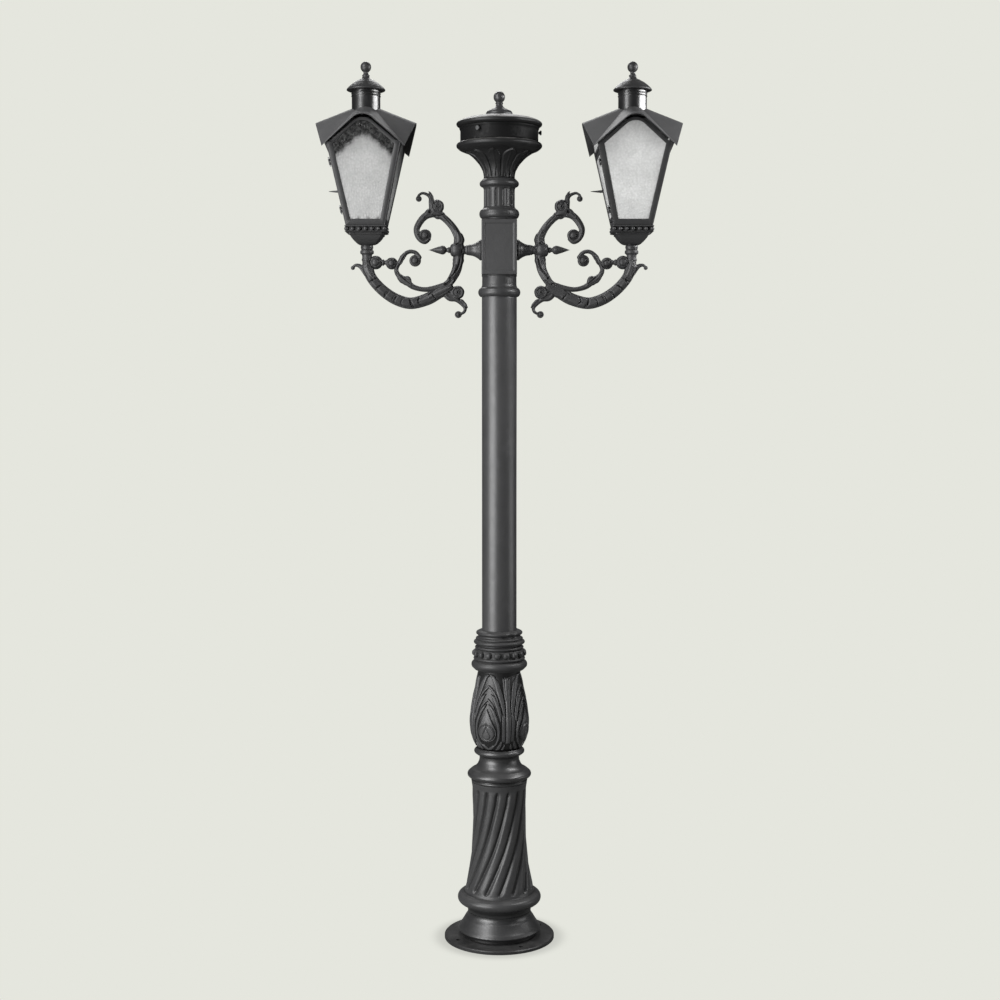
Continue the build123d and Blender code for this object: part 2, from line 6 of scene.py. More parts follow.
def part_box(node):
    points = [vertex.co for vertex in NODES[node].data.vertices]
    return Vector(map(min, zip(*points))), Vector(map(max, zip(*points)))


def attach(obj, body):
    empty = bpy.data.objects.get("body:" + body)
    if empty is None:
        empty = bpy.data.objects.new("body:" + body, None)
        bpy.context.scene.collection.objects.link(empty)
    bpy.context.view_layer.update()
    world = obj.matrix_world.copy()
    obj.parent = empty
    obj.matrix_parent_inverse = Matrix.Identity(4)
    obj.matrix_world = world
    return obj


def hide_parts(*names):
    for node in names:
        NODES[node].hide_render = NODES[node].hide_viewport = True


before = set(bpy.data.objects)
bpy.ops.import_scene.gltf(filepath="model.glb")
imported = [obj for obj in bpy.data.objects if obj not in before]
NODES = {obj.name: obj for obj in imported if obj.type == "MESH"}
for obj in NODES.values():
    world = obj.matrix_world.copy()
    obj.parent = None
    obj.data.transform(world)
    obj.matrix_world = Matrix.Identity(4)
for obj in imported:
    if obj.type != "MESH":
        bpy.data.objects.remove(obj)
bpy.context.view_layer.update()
MM = 0.001
PI = math.pi


# ------------------------------------------------------------------ places read from the frame (mm)
def centre_mm(node):
    lo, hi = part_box(node)
    return [(a + b) / 2 / MM for a, b in zip(lo, hi)]


LX = centre_mm("right_vent_cap")[0]              # lantern axis from the post axis
HUB_Z = centre_mm("right_arm_spear")[2]          # height of the arm fixing
BLOCK_LO, BLOCK_HI = [[c / MM for c in p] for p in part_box("arm_block")]


# ------------------------------------------------------------------ mesh helpers, all in mm
class Geo:
    """Vertices with quads and triangles; closed shells, faces wound outwards."""

    def __init__(self, V, Q=None, T=None):
        self.V = np.asarray(V, float).reshape(-1, 3)
        self.Q = np.zeros((0, 4), int) if Q is None or len(Q) == 0 else np.asarray(Q, int)
        self.T = np.zeros((0, 3), int) if T is None or len(T) == 0 else np.asarray(T, int)

    def tris(self):
        return np.concatenate([self.T, self.Q[:, [0, 1, 2]], self.Q[:, [0, 2, 3]]])

    def out(self):
        a, b, c = (self.V[self.tris()[:, i]] for i in range(3))
        if np.einsum("ij,ij->i", a, np.cross(b, c)).sum() < 0:
            self.Q, self.T = self.Q[:, ::-1], self.T[:, ::-1]
        return self

    def moved(self, dx=0.0, dy=0.0, dz=0.0):
        return Geo(self.V + np.array([dx, dy, dz]), self.Q, self.T)

    def turned_z(self, deg):
        a = math.radians(deg)
        c, s = math.cos(a), math.sin(a)
        V = self.V.copy()
        V[:, 0], V[:, 1] = c * self.V[:, 0] - s * self.V[:, 1], s * self.V[:, 0] + c * self.V[:, 1]
        return Geo(V, self.Q, self.T)

    def mirrored(self):
        return Geo(self.V * np.array([-1, 1, 1]), self.Q[:, ::-1], self.T[:, ::-1])


def join(parts):
    V, Q, T, n = [], [], [], 0
    for g in parts:
        V.append(g.V)
        Q.append(g.Q + n)
        T.append(g.T + n)
        n += len(g.V)
    return Geo(np.concatenate(V), np.concatenate(Q), np.concatenate(T))


def to_mesh(name, g):
    me = bpy.data.meshes.new(name)
    me.vertices.add(len(g.V))
    me.vertices.foreach_set("co", (g.V * MM).astype(np.float32).ravel())
    nq, nt = len(g.Q), len(g.T)
    me.loops.add(nq * 4 + nt * 3)
    me.loops.foreach_set("vertex_index", np.concatenate([g.Q.ravel(), g.T.ravel()]).astype(np.int32))
    me.polygons.add(nq + nt)
    starts = np.concatenate([np.arange(nq) * 4, nq * 4 + np.arange(nt) * 3]).astype(np.int32)
    me.polygons.foreach_set("loop_start", starts)
    me.update(calc_edges=True)
    me.validate()
    return me


def shade(me, sharp=38.0):
    me.polygons.foreach_set("use_smooth", np.ones(len(me.polygons), bool))
    if sharp is not None:
        me.set_sharp_from_angle(angle=math.radians(sharp))
    me.update()


def piece(name, g, mat, body, nodes=(), sharp=38.0, mesh=None):
    me = mesh if mesh is not None else to_mesh(name, g)
    me.name = name
    shade(me, sharp)
    me.materials.clear()
    me.materials.append(mat)
    ob = bpy.data.objects.new(name, me)
    bpy.context.scene.collection.objects.link(ob)
    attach(ob, body)
    if nodes:
        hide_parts(*nodes)
    return ob


def add_float(ob, name, values):
    a = ob.data.attributes.new(name, "FLOAT", "POINT")
    a.data.foreach_set("value", values.astype(np.float32))


def fused(name, g, voxel, smooth=2, factor=0.5):
    """Melts overlapping shells into one closed skin, as a casting is, and returns the mesh."""
    me = to_mesh(name + "_raw", g)
    ob = bpy.data.objects.new(name + "_raw", me)
    bpy.context.scene.collection.objects.link(ob)
    m = ob.modifiers.new("r", "REMESH")
    m.mode = "VOXEL"
    m.voxel_size = voxel * MM
    m.adaptivity = 0.0
    if smooth:
        s = ob.modifiers.new("s", "SMOOTH")
        s.factor = factor
        s.iterations = smooth
    dg = bpy.context.evaluated_depsgraph_get()
    out = bpy.data.meshes.new_from_object(ob.evaluated_get(dg))
    bpy.data.objects.remove(ob)
    bpy.data.meshes.remove(me)
    return out


def mesh_geo(me):
    """The mesh back as a Geo in mm."""
    V = np.zeros(len(me.vertices) * 3, np.float32)
    me.vertices.foreach_get("co", V)
    tot = np.zeros(len(me.polygons), np.int32)
    me.polygons.foreach_get("loop_total", tot)
    idx = np.zeros(len(me.loops), np.int32)
    me.loops.foreach_get("vertex_index", idx)
    st = np.zeros(len(me.polygons), np.int32)
    me.polygons.foreach_get("loop_start", st)
    q = st[tot == 4]
    t = st[tot == 3]
    Q = idx[q[:, None] + np.arange(4)] if len(q) else None
    T = idx[t[:, None] + np.arange(3)] if len(t) else None
    return Geo(V.reshape(-1, 3) / MM, Q, T)


# ------------------------------------------------------------------ profiles
def arc_pts(p0, p1, p2, n):
    """n points after p0 along the arc p0 p1 p2."""
    ax, ay, bx, by, cx, cy = *p0, *p1, *p2
    d = 2 * (ax * (by - cy) + bx * (cy - ay) + cx * (ay - by))
    ux = ((ax * ax + ay * ay) * (by - cy) + (bx * bx + by * by) * (cy - ay) + (cx * cx + cy * cy) * (ay - by)) / d
    uy = ((ax * ax + ay * ay) * (cx - bx) + (bx * bx + by * by) * (ax - cx) + (cx * cx + cy * cy) * (bx - ax)) / d
    r = math.hypot(ax - ux, ay - uy)
    a0, a1, a2 = (math.atan2(p[1] - uy, p[0] - ux) for p in (p0, p1, p2))
    sweep = (a2 - a0) % (2 * PI)
    if not ((a1 - a0) % (2 * PI)) <= sweep:
        sweep -= 2 * PI
    return [(ux + r * math.cos(a0 + sweep * k / n), uy + r * math.sin(a0 + sweep * k / n)) for k in range(1, n + 1)]


def sample(points, step):
    """Dense points along a profile; ('a', mid, end) is an arc."""
    out = [points[0]]
    for item in points[1:]:
        p0 = out[-1]
        if item[0] == "a":
            mid, end = item[1], item[2]
            n = max(3, int(math.ceil((math.dist(p0, mid) + math.dist(mid, end)) / step)))
            out += arc_pts(p0, mid, end, n)
        else:
            n = max(1, int(math.ceil(math.dist(p0, item) / step)))
            out += [(p0[0] + (item[0] - p0[0]) * k / n, p0[1] + (item[1] - p0[1]) * k / n) for k in range(1, n + 1)]
    return np.array(out, float)


def soften(P, rounds):
    """Rounds off profile corners, ends kept."""
    P = P.copy()
    for _ in range(rounds):
        P[1:-1] = 0.25 * P[:-2] + 0.5 * P[1:-1] + 0.25 * P[2:]
    return P


def revolve(outer, inner=(), step=2.0, nang=180, soft=2, relief=None, rmax=None):
    """Turned shape about Z. outer is dense and may carry relief(theta, r, z) in mm along its normal;
    inner closes it on the inside. With no inner the ends of outer lie on the axis."""
    P = soften(sample(list(outer), step), soft)
    th = np.arange(nang) * 2 * PI / nang
    d = np.gradient(P, axis=0)
    ln = np.hypot(d[:, 0], d[:, 1]) + 1e-9
    nr, nz = d[:, 1] / ln, -d[:, 0] / ln
    if P[-1, 1] < P[0, 1] - 1e-6 and not len(inner):
        nr, nz = -nr, -nz
    R = np.repeat(P[:, 0:1], nang, 1)
    Z = np.repeat(P[:, 1:2], nang, 1)
    if relief is not None:
        h = relief(th[None, :], P[:, 0:1], P[:, 1:2])
        revolve.h = np.broadcast_to(h, R.shape)
        R = R + h * nr[:, None]
        Z = Z + h * nz[:, None]
    if rmax is not None:
        R = np.minimum(R, rmax)
    S, C = np.sin(th)[None, :], -np.cos(th)[None, :]
    if len(inner):
        I = np.array(inner, float)
        R = np.concatenate([R, np.repeat(I[:, 0:1], nang, 1)])
        Z = np.concatenate([Z, np.repeat(I[:, 1:2], nang, 1)])
        n = len(R)
        V = np.stack([R * S, R * C, Z], -1).reshape(-1, 3)
        i, j = np.meshgrid(np.arange(n), np.arange(nang), indexing="ij")
        i2, j2 = (i + 1) % n, (j + 1) % nang
        Q = np.stack([i * nang + j, i * nang + j2, i2 * nang + j2, i2 * nang + j], -1).reshape(-1, 4)
        return Geo(V, Q).out()
    R, Z = R[1:-1], Z[1:-1]
    n = len(R)
    V = np.stack([R * S, R * C, Z], -1).reshape(-1, 3)
    V = np.concatenate([V, [[0, 0, P[0, 1]], [0, 0, P[-1, 1]]]])
    i, j = np.meshgrid(np.arange(n - 1), np.arange(nang), indexing="ij")
    j2 = (j + 1) % nang
    Q = np.stack([i * nang + j, i * nang + j2, (i + 1) * nang + j2, (i + 1) * nang + j], -1).reshape(-1, 4)
    j = np.arange(nang)
    j2 = (j + 1) % nang
    a, b = n * nang, n * nang + 1
    T = np.concatenate([np.stack([j2, j, np.full(nang, a)], -1),
                        np.stack([(n - 1) * nang + j, (n - 1) * nang + j2, np.full(nang, b)], -1)])
    return Geo(V, Q, T).out()


def hollows(g, low, high, much):
    """Painted shade for the hollows of the relief that revolve() cut last, one value for each point of g."""
    w = np.zeros(len(g.V))
    w[:revolve.h.size] = much * np.clip((high - revolve.h.ravel()) / (high - low), 0, 1)
    return w


def creases(g, rows):
    """Painted shade in the creases between mouldings: rows of (height, half width, strength)."""
    w = np.zeros(len(g.V))
    for z, half, much in rows:
        w = np.maximum(w, much * np.exp(-((g.V[:, 2] - z) / half) ** 2))
    return w


def along_x(g, x, z=HUB_Z):
    """A shape turned about Z laid with its Z axis along +X from x."""
    V = np.stack([g.V[:, 2] + x, g.V[:, 1], -g.V[:, 0] + z], -1)
    return Geo(V, g.Q, g.T).out()


def catmull(points, per):
    out, n = [], len(points)
    for i in range(n - 1):
        p0, p1, p2, p3 = (np.array(points[k], float) for k in (max(i - 1, 0), i, i + 1, min(i + 2, n - 1)))
        for k in range(per):
            t = k / per
            out.append(0.5 * (2 * p1 + (p2 - p0) * t + (2 * p0 - 5 * p1 + 4 * p2 - p3) * t * t
                              + (3 * p1 - p0 - 3 * p2 + p3) * t ** 3))
    out.append(np.array(points[-1], float))
    return np.array(out)


def even(P, step):
    """Resamples the centre line to an even step; returns points and arc length."""
    s = np.concatenate([[0], np.cumsum(np.hypot(*np.diff(P[:, :2], axis=0).T))])
    n = max(4, int(s[-1] / step))
    q = np.linspace(0, s[-1], n + 1)
    return np.stack([np.interp(q, s, P[:, k]) for k in range(P.shape[1])], 1), q


def limb(points, depth, step=2.0, nphi=40, relief=None, square=2.4, depth_end=None, cap0=True, cap1=True):
    """Cast limb in the XZ plane along (x, z, width) points: section is a soft oval, width by depth, round ends.
    relief(s, phi) is in mm, s the arc length, phi 0 on the outer side and 90 towards -Y."""
    P, s = even(catmull(points, 14), step)
    w = P[:, 2] / 2
    d = np.gradient(P[:, :2], axis=0)
    d /= np.hypot(d[:, 0], d[:, 1])[:, None]
    dep = np.linspace(depth / 2, (depth_end or depth) / 2, len(P))
    C = P[:, :2]
    rows = [(C[i], d[i], w[i], dep[i], s[i]) for i in range(len(P))]
    ends = [math.cos(a) for a in np.linspace(0, PI / 2, 7)[1:-1]]
    if cap0:
        r0 = rows[0]
        k = r0[2]
        rows = [(r0[0] - r0[1] * k * math.sqrt(1 - e * e), r0[1], r0[2] * e, r0[3] * e, r0[4]) for e in ends[::-1]] + rows
    if cap1:
        r1 = rows[-1]
        k = r1[2]
        rows += [(r1[0] + r1[1] * k * math.sqrt(1 - e * e), r1[1], r1[2] * e, r1[3] * e, r1[4]) for e in ends]
    ph = np.arange(nphi) * 2 * PI / nphi
    c, sn = np.cos(ph), np.sin(ph)
    e = 2 / square
    cu, su = np.sign(c) * np.abs(c) ** e, np.sign(sn) * np.abs(sn) ** e
    V = []
    for C_, d_, w_, dp_, s_ in rows:
        n_ = np.array([-d_[1], d_[0]])
        f = 1.0 if relief is None else 1.0 + relief(s_, ph) / max(w_, 4.0)
        a = cu * w_ * f
        b = su * dp_ * f
        V.append(np.stack([C_[0] + n_[0] * a, -b, C_[1] + n_[1] * a], -1))
    n = len(rows)
    tip0 = rows[0][0] - rows[0][1] * rows[0][2] * (0.06 if cap0 else 0)
    tip1 = rows[-1][0] + rows[-1][1] * rows[-1][2] * (0.06 if cap1 else 0)
    V = np.concatenate(V + [np.array([[tip0[0], 0, tip0[1]], [tip1[0], 0, tip1[1]]])])
    i, j = np.meshgrid(np.arange(n - 1), np.arange(nphi), indexing="ij")
    j2 = (j + 1) % nphi
    Q = np.stack([i * nphi + j, i * nphi + j2, (i + 1) * nphi + j2, (i + 1) * nphi + j], -1).reshape(-1, 4)
    j = np.arange(nphi)
    j2 = (j + 1) % nphi
    T = np.concatenate([np.stack([j2, j, np.full(nphi, n * nphi)], -1),
                        np.stack([(n - 1) * nphi + j, (n - 1) * nphi + j2, np.full(nphi, n * nphi + 1)], -1)])
    return Geo(V, Q, T).out()


def sphere(x, y, z, r, ry=None, n=40, relief=None):
    g = revolve([(0, -r), ("a", (r, 0), (0, r))], step=max(0.8, r / 16), nang=n, soft=0, relief=relief)
    V = g.V.copy()
    # polar axis is laid along Y so that ring relief faces the front and the rear
    V = np.stack([V[:, 0], V[:, 2] * ((ry or r) / r), V[:, 1]], -1) + np.array([x, y, z])
    return Geo(V, g.Q, g.T).out()


def rosette(x, z, r, half, petals=6, n=96, phase=0.0, eye=0.3):
    """Round flower, front and rear alike: lens with petals round a raised eye."""
    rad = np.linspace(0.05, 1.0, 26)
    th = np.arange(n) * 2 * PI / n
    c = np.abs(np.cos(petals * (th[None, :] + phase) / 2))
    rr = rad[:, None]
    eyeh = np.clip(1 - (rr / eye) ** 2, 0, 1) ** 0.5 * 0.42
    gap = np.exp(-((rr - 0.56) / 0.06) ** 2) * 0.20
    pet = (0.66 + 0.2 * np.sin(np.clip((rr - eye) / (1 - eye), 0, 1) * PI)) * (0.92 + 0.08 * c ** 0.6)
    vein = np.exp(-((1 - c) / 0.02)) * 0.04 * (rr > eye * 1.2)
    h = np.maximum(pet - gap - vein, eyeh + 0.55 * (rr < eye * 1.05)) + 0.10 * (rr < eye) * (rr > 0.5 * eye)
    edge = np.clip((1 - rr) / 0.16, 0, 1) ** 0.5
    rim = 1 - 0.035 * (1 - c)
    H = h * edge * half
    X = r * rr * rim * np.sin(th)[None, :]
    Zc = r * rr * rim * np.cos(th)[None, :]
    front = np.stack([X, -H - 0.4, Zc], -1)
    back = np.stack([X, H + 0.4, Zc], -1)[::-1]
    G = np.concatenate([front, back]).reshape(-1, 3)
    m = 2 * len(rad)
    i, j = np.meshgrid(np.arange(m - 1), np.arange(n), indexing="ij")
    j2 = (j + 1) % n
    Q = np.stack([i * n + j, i * n + j2, (i + 1) * n + j2, (i + 1) * n + j], -1).reshape(-1, 4)
    V = np.concatenate([G, [[0, front[0, 0, 1], 0], [0, back[-1, 0, 1], 0]]]) + np.array([x, 0, z])
    j = np.arange(n)
    j2 = (j + 1) % n
    T = np.concatenate([np.stack([j2, j, np.full(n, m * n)], -1),
                        np.stack([(m - 1) * n + j, (m - 1) * n + j2, np.full(n, m * n + 1)], -1)])
    return Geo(V, Q, T).out()


def rounded_box(x0, x1, y0, y1, z0, z1, b):
    """Box with rounded edges of radius b, built from a subdivided cube."""
    n = 4
    k = np.sin(np.linspace(0, PI / 2, n + 1)) * b
    def ax(lo, hi):
        e = b - np.sqrt(np.clip(b * b - k[::-1] ** 2, 0, None))
        a = lo + (b - np.sin(np.linspace(PI / 2, 0, n + 1)) * b)
        return np.concatenate([a, hi - (a - lo)[::-1]])
    X, Y, Z = ax(x0, x1), ax(y0, y1), ax(z0, z1)
    V, index = [], {}
    def vid(i, j, k_):
        key = (i, j, k_)
        if key not in index:
            p = np.array([X[i], Y[j], Z[k_]])
            c = np.array([min(max(p[0], x0 + b), x1 - b), min(max(p[1], y0 + b), y1 - b), min(max(p[2], z0 + b), z1 - b)])
            d = p - c
            L = np.linalg.norm(d)
            if L > 1e-9:
                p = c + d / L * b
            index[key] = len(V)
            V.append(p)
        return index[key]
    m = len(X) - 1
    Q = []
    for i in range(m):
        for j in range(m):
            Q.append([vid(i, j, 0), vid(i, j + 1, 0), vid(i + 1, j + 1, 0), vid(i + 1, j, 0)])
            Q.append([vid(i, j, m), vid(i + 1, j, m), vid(i + 1, j + 1, m), vid(i, j + 1, m)])
            Q.append([vid(i, 0, j), vid(i + 1, 0, j), vid(i + 1, 0, j + 1), vid(i, 0, j + 1)])
            Q.append([vid(i, m, j), vid(i, m, j + 1), vid(i + 1, m, j + 1), vid(i + 1, m, j)])
            Q.append([vid(0, i, j), vid(0, i, j + 1), vid(0, i + 1, j + 1), vid(0, i + 1, j)])
            Q.append([vid(m, i, j), vid(m, i + 1, j), vid(m, i + 1, j + 1), vid(m, i, j + 1)])
    return Geo(np.array(V), Q).out()


def smoothstep(x, a, b):
    t = np.clip((x - a) / (b - a), 0, 1)
    return t * t * (3 - 2 * t)


# ------------------------------------------------------------------ materials
def lin(v):
    v = v / 255.0
    return v / 12.92 if v <= 0.04045 else ((v + 0.055) / 1.055) ** 2.4


def grey(v, tint=(1.0, 1.0, 1.0)):
    return (lin(v) * tint[0], lin(v) * tint[1], lin(v) * tint[2], 1.0)


def new_mat(name):
    m = bpy.data.materials.new(name)
    m.use_nodes = True
    nt = m.node_tree
    nt.nodes.clear()
    out = nt.nodes.new("ShaderNodeOutputMaterial")
    p = nt.nodes.new("ShaderNodeBsdfPrincipled")
    nt.links.new(p.outputs["BSDF"], out.inputs["Surface"])
    co = nt.nodes.new("ShaderNodeTexCoord")
    return m, nt, p, co.outputs["Object"], out


def noise(nt, co, scale, detail=4.0, rough=0.55, distortion=0.0):
    n = nt.nodes.new("ShaderNodeTexNoise")
    n.inputs["Scale"].default_value = scale
    n.inputs["Detail"].default_value = detail
    n.inputs["Roughness"].default_value = rough
    n.inputs["Distortion"].default_value = distortion
    nt.links.new(co, n.inputs["Vector"])
    return n.outputs["Fac"]


def ramp(nt, fac, stops):
    r = nt.nodes.new("ShaderNodeValToRGB")
    els = r.color_ramp.elements
    while len(els) < len(stops):
        els.new(0.5)
    for e, (pos, col) in zip(els, stops):
        e.position = pos
        e.color = col
    nt.links.new(fac, r.inputs["Fac"])
    return r.outputs["Color"]


def maprange(nt, fac, a, b, c, d):
    n = nt.nodes.new("ShaderNodeMapRange")
    n.inputs["From Min"].default_value = a
    n.inputs["From Max"].default_value = b
    n.inputs["To Min"].default_value = c
    n.inputs["To Max"].default_value = d
    nt.links.new(fac, n.inputs["Value"])
    return n.outputs["Result"]


def mix(nt, fac, a, b, kind="MIX"):
    n = nt.nodes.new("ShaderNodeMix")
    n.data_type = "RGBA"
    n.blend_type = kind
    if isinstance(fac, float):
        n.inputs[0].default_value = fac
    else:
        nt.links.new(fac, n.inputs[0])
    nt.links.new(a, n.inputs[6])
    if isinstance(b, tuple):
        n.inputs[7].default_value = b
    else:
        nt.links.new(b, n.inputs[7])
    return n.outputs[2]


def bump(nt, height, strength, distance, under=None):
    n = nt.nodes.new("ShaderNodeBump")
    n.inputs["Strength"].default_value = strength
    n.inputs["Distance"].default_value = distance
    nt.links.new(height, n.inputs["Height"])
    if under is not None:
        nt.links.new(under, n.inputs["Normal"])
    return n.outputs["Normal"]


def paint(name, dark, light, rough=(0.34, 0.5), grain=900.0, grain_depth=0.00018, lumps=70.0, lump_depth=0.0006,
          spec=0.5, coat=0.0, coat_rough=0.25, worn_and_highlight=118, dust=0.10, tint=(1.0, 1.0, 1.02), wear_and_shade=True):
    """Satin paint over metal: tone drift, cast or rolled grain, thinner paint on edges, painted shade in the hollows, a
    little pale dust on what faces up.
    """
    m, nt, p, co, _ = new_mat(name)
    big = noise(nt, co, 5.0, 5.0, 0.6, 0.4)
    base = ramp(nt, big, [(0.30, grey(dark, tint)), (0.70, grey(light, tint))])
    fine = noise(nt, co, 120.0, 3.0, 0.6)
    base = mix(nt, maprange(nt, fine, 0.3, 0.7, 0.0, 0.35), base, grey((dark + light) / 2 + 6, tint))
    geo = nt.nodes.new("ShaderNodeNewGeometry")
    brk = maprange(nt, noise(nt, co, 45.0, 5.0, 0.7), 0.42, 0.68, 0.0, 0.6)
    if wear_and_shade:
        # thin, rubbed paint on the edges of the relief (on the gallery beads also a painted highlight), and painted
        # shade in its hollows
        edge = maprange(nt, geo.outputs["Pointiness"], 0.52, 0.62, 0.0, 1.0)
        mul = nt.nodes.new("ShaderNodeMath")
        mul.operation = "MULTIPLY"
        nt.links.new(edge, mul.inputs[0])
        nt.links.new(brk, mul.inputs[1])
        base = mix(nt, mul.outputs[0], base, grey(worn_and_highlight, tint))
        base = mix(nt, maprange(nt, geo.outputs["Pointiness"], 0.49, 0.40, 0.0, 0.75), base, grey(14, tint))
    else:
        base = mix(nt, maprange(nt, noise(nt, co, 11.0, 5.0, 0.7), 0.56, 0.74, 0.0, 0.12), base, grey(worn_and_highlight, tint))
    # painted shade, near black, in the cut lines, hollows and creases of the castings
    att = nt.nodes.new("ShaderNodeAttribute")
    att.attribute_name = "grime"
    base = mix(nt, maprange(nt, att.outputs["Fac"], 0.0, 1.0, 0.0, 0.9), base, grey(6, tint))
    # pale dust lies on what faces up
    sep = nt.nodes.new("ShaderNodeSeparateXYZ")
    nt.links.new(geo.outputs["Normal"], sep.inputs[0])
    up = maprange(nt, sep.outputs["Z"], 0.55, 1.0, 0.0, dust)
    mul2 = nt.nodes.new("ShaderNodeMath")
    mul2.operation = "MULTIPLY"
    nt.links.new(up, mul2.inputs[0])
    nt.links.new(maprange(nt, noise(nt, co, 22.0, 5.0, 0.65), 0.35, 0.65, 0.2, 1.0), mul2.inputs[1])
    base = mix(nt, mul2.outputs[0], base, grey(150, (1.0, 0.98, 0.94)))
    nt.links.new(base, p.inputs["Base Color"])
    rr = noise(nt, co, 16.0, 6.0, 0.65)
    nt.links.new(maprange(nt, rr, 0.25, 0.75, rough[0], rough[1]), p.inputs["Roughness"])
    p.inputs["Specular IOR Level"].default_value = spec
    p.inputs["Coat Weight"].default_value = coat
    p.inputs["Coat Roughness"].default_value = coat_rough
    n1 = bump(nt, noise(nt, co, lumps, 4.0, 0.6), 1.0, lump_depth)
    n2 = bump(nt, noise(nt, co, grain, 3.0, 0.6), 1.0, grain_depth, n1)
    nt.links.new(n2, p.inputs["Normal"])
    return m


# These are one charcoal paint in lit and shaded copies: base tones set part by part, lighter for the tube, foot,
# flutes, leaf panels, arm block, fine castings and hood, darker for the drum, chimney and capital.
CAST = paint("cast_iron_paint", 42, 55, rough=(0.34, 0.48), grain=650.0, grain_depth=0.00018, lumps=60.0,
             lump_depth=0.0007, spec=0.5)
CAST_FINE = paint("cast_iron_paint_fine", 44, 57, rough=(0.40, 0.52), grain=800.0, grain_depth=0.00012, lumps=90.0,
                  lump_depth=0.0003, spec=0.42, worn_and_highlight=104)
CAST_PLAIN = paint("cast_iron_paint_plain", 34, 46, rough=(0.34, 0.48), grain=700.0, grain_depth=0.00018, lumps=50.0,
                   lump_depth=0.0007, spec=0.5, wear_and_shade=False)
TUBE = paint("tube_paint", 54, 64, rough=(0.34, 0.44), grain=1100.0, grain_depth=0.00006, lumps=20.0,
             lump_depth=0.0005, spec=0.55, coat=0.10, coat_rough=0.34, wear_and_shade=False)
FOOT = paint("foot_paint", 40, 52, rough=(0.34, 0.42), grain=650.0, grain_depth=0.00006, lumps=30.0,
             lump_depth=0.0004, spec=0.85, worn_and_highlight=84, wear_and_shade=False)
FLUTE = paint("flute_paint", 50, 64, rough=(0.34, 0.46), grain=650.0, grain_depth=0.00018, lumps=60.0,
              lump_depth=0.0006, spec=0.5, worn_and_highlight=124)
LEAF = paint("leaf_paint", 54, 70, rough=(0.34, 0.46), grain=800.0, grain_depth=0.00014, lumps=90.0,
             lump_depth=0.0004, spec=0.5, worn_and_highlight=126)
SHEET = paint("sheet_paint", 62, 76, rough=(0.52, 0.62), grain=1200.0, grain_depth=0.00006, lumps=14.0,
              lump_depth=0.0009, spec=0.28, dust=0.05, wear_and_shade=False)
# cap band: base tone painted near black as the shade under the lid rim
DRUM = paint("drum_paint", 10, 20, rough=(0.46, 0.60), grain=800.0, grain_depth=0.00014, lumps=60.0,
             lump_depth=0.0005, spec=0.12, dust=0.15, wear_and_shade=False)
BLOCK = paint("block_paint", 48, 60, rough=(0.42, 0.54), grain=700.0, grain_depth=0.00018, lumps=50.0,
              lump_depth=0.0008, spec=0.5)
# gallery: rubbed edges lightened strongly, so the beads carry a painted highlight along with rubbed paint
GALLERY = paint("gallery_paint", 44, 56, rough=(0.34, 0.46), grain=1000.0, grain_depth=0.0001, lumps=40.0,
                lump_depth=0.0004, spec=0.5, worn_and_highlight=150)
DOME = paint("dome_paint", 34, 46, rough=(0.42, 0.52), grain=1200.0, grain_depth=0.00006, lumps=20.0,
             lump_depth=0.0006, spec=0.45, dust=0.08, wear_and_shade=False)
# chimney: a darker copy, base tone painted dark as shade, with a glossy coat
PIPE = paint("pipe_paint", 14, 26, rough=(0.26, 0.36), grain=1200.0, grain_depth=0.00006, lumps=14.0,
             lump_depth=0.0006, spec=0.8, coat=0.35, coat_rough=0.22, dust=0.10, wear_and_shade=False)
# bell and lid: a darker copy, base tone painted dark as shade
CAP = paint("capital_paint", 16, 28, rough=(0.42, 0.56), grain=800.0, grain_depth=0.00014, lumps=60.0,
            lump_depth=0.0005, spec=0.4, dust=0.55, worn_and_highlight=80)
LANTERN = paint("lantern_paint", 42, 52, rough=(0.36, 0.48), grain=1000.0, grain_depth=0.0001, lumps=40.0,
                lump_depth=0.0004, spec=0.45, wear_and_shade=False)


def metal(name, a, b, rough, tint=(1.0, 1.0, 1.0), streak=400.0):
    m, nt, p, co, _ = new_mat(name)
    base = ramp(nt, noise(nt, co, 60.0, 6.0, 0.7, 0.6), [(0.3, grey(a, tint)), (0.7, grey(b, tint))])
    nt.links.new(base, p.inputs["Base Color"])
    p.inputs["Metallic"].default_value = 1.0
    nt.links.new(maprange(nt, noise(nt, co, 90.0, 5.0), 0.3, 0.7, rough[0], rough[1]), p.inputs["Roughness"])
    nt.links.new(bump(nt, noise(nt, co, streak, 3.0), 1.0, 0.00012), p.inputs["Normal"])
    return m


ZINC = metal("zinc_steel", 120, 175, (0.32, 0.55), (0.97, 0.99, 1.0))


def dull(name, a, b, rough, tint, bump_scale, depth, sheen=0.0, trans=0.0, coat=0.0):
    m, nt, p, co, _ = new_mat(name)
    base = ramp(nt, noise(nt, co, 30.0, 5.0, 0.65), [(0.3, grey(a, tint)), (0.7, grey(b, tint))])
    nt.links.new(base, p.inputs["Base Color"])
    nt.links.new(maprange(nt, noise(nt, co, 70.0, 4.0), 0.3, 0.7, rough[0], rough[1]), p.inputs["Roughness"])
    nt.links.new(bump(nt, noise(nt, co, bump_scale, 3.0), 1.0, depth), p.inputs["Normal"])
    p.inputs["Transmission Weight"].default_value = trans
    p.inputs["Coat Weight"].default_value = coat
    return m


PORCELAIN = dull("porcelain", 226, 244, (0.12, 0.3), (1.0, 0.99, 0.95), 50.0, 0.0003, coat=0.4)
PLASTIC = dull("terminal_plastic", 40, 58, (0.4, 0.55), (1.0, 1.0, 1.0), 900.0, 0.0001)
LAMP = dull("lamp_glass", 225, 250, (0.08, 0.2), (1.0, 1.0, 0.98), 40.0, 0.0003, trans=0.35)


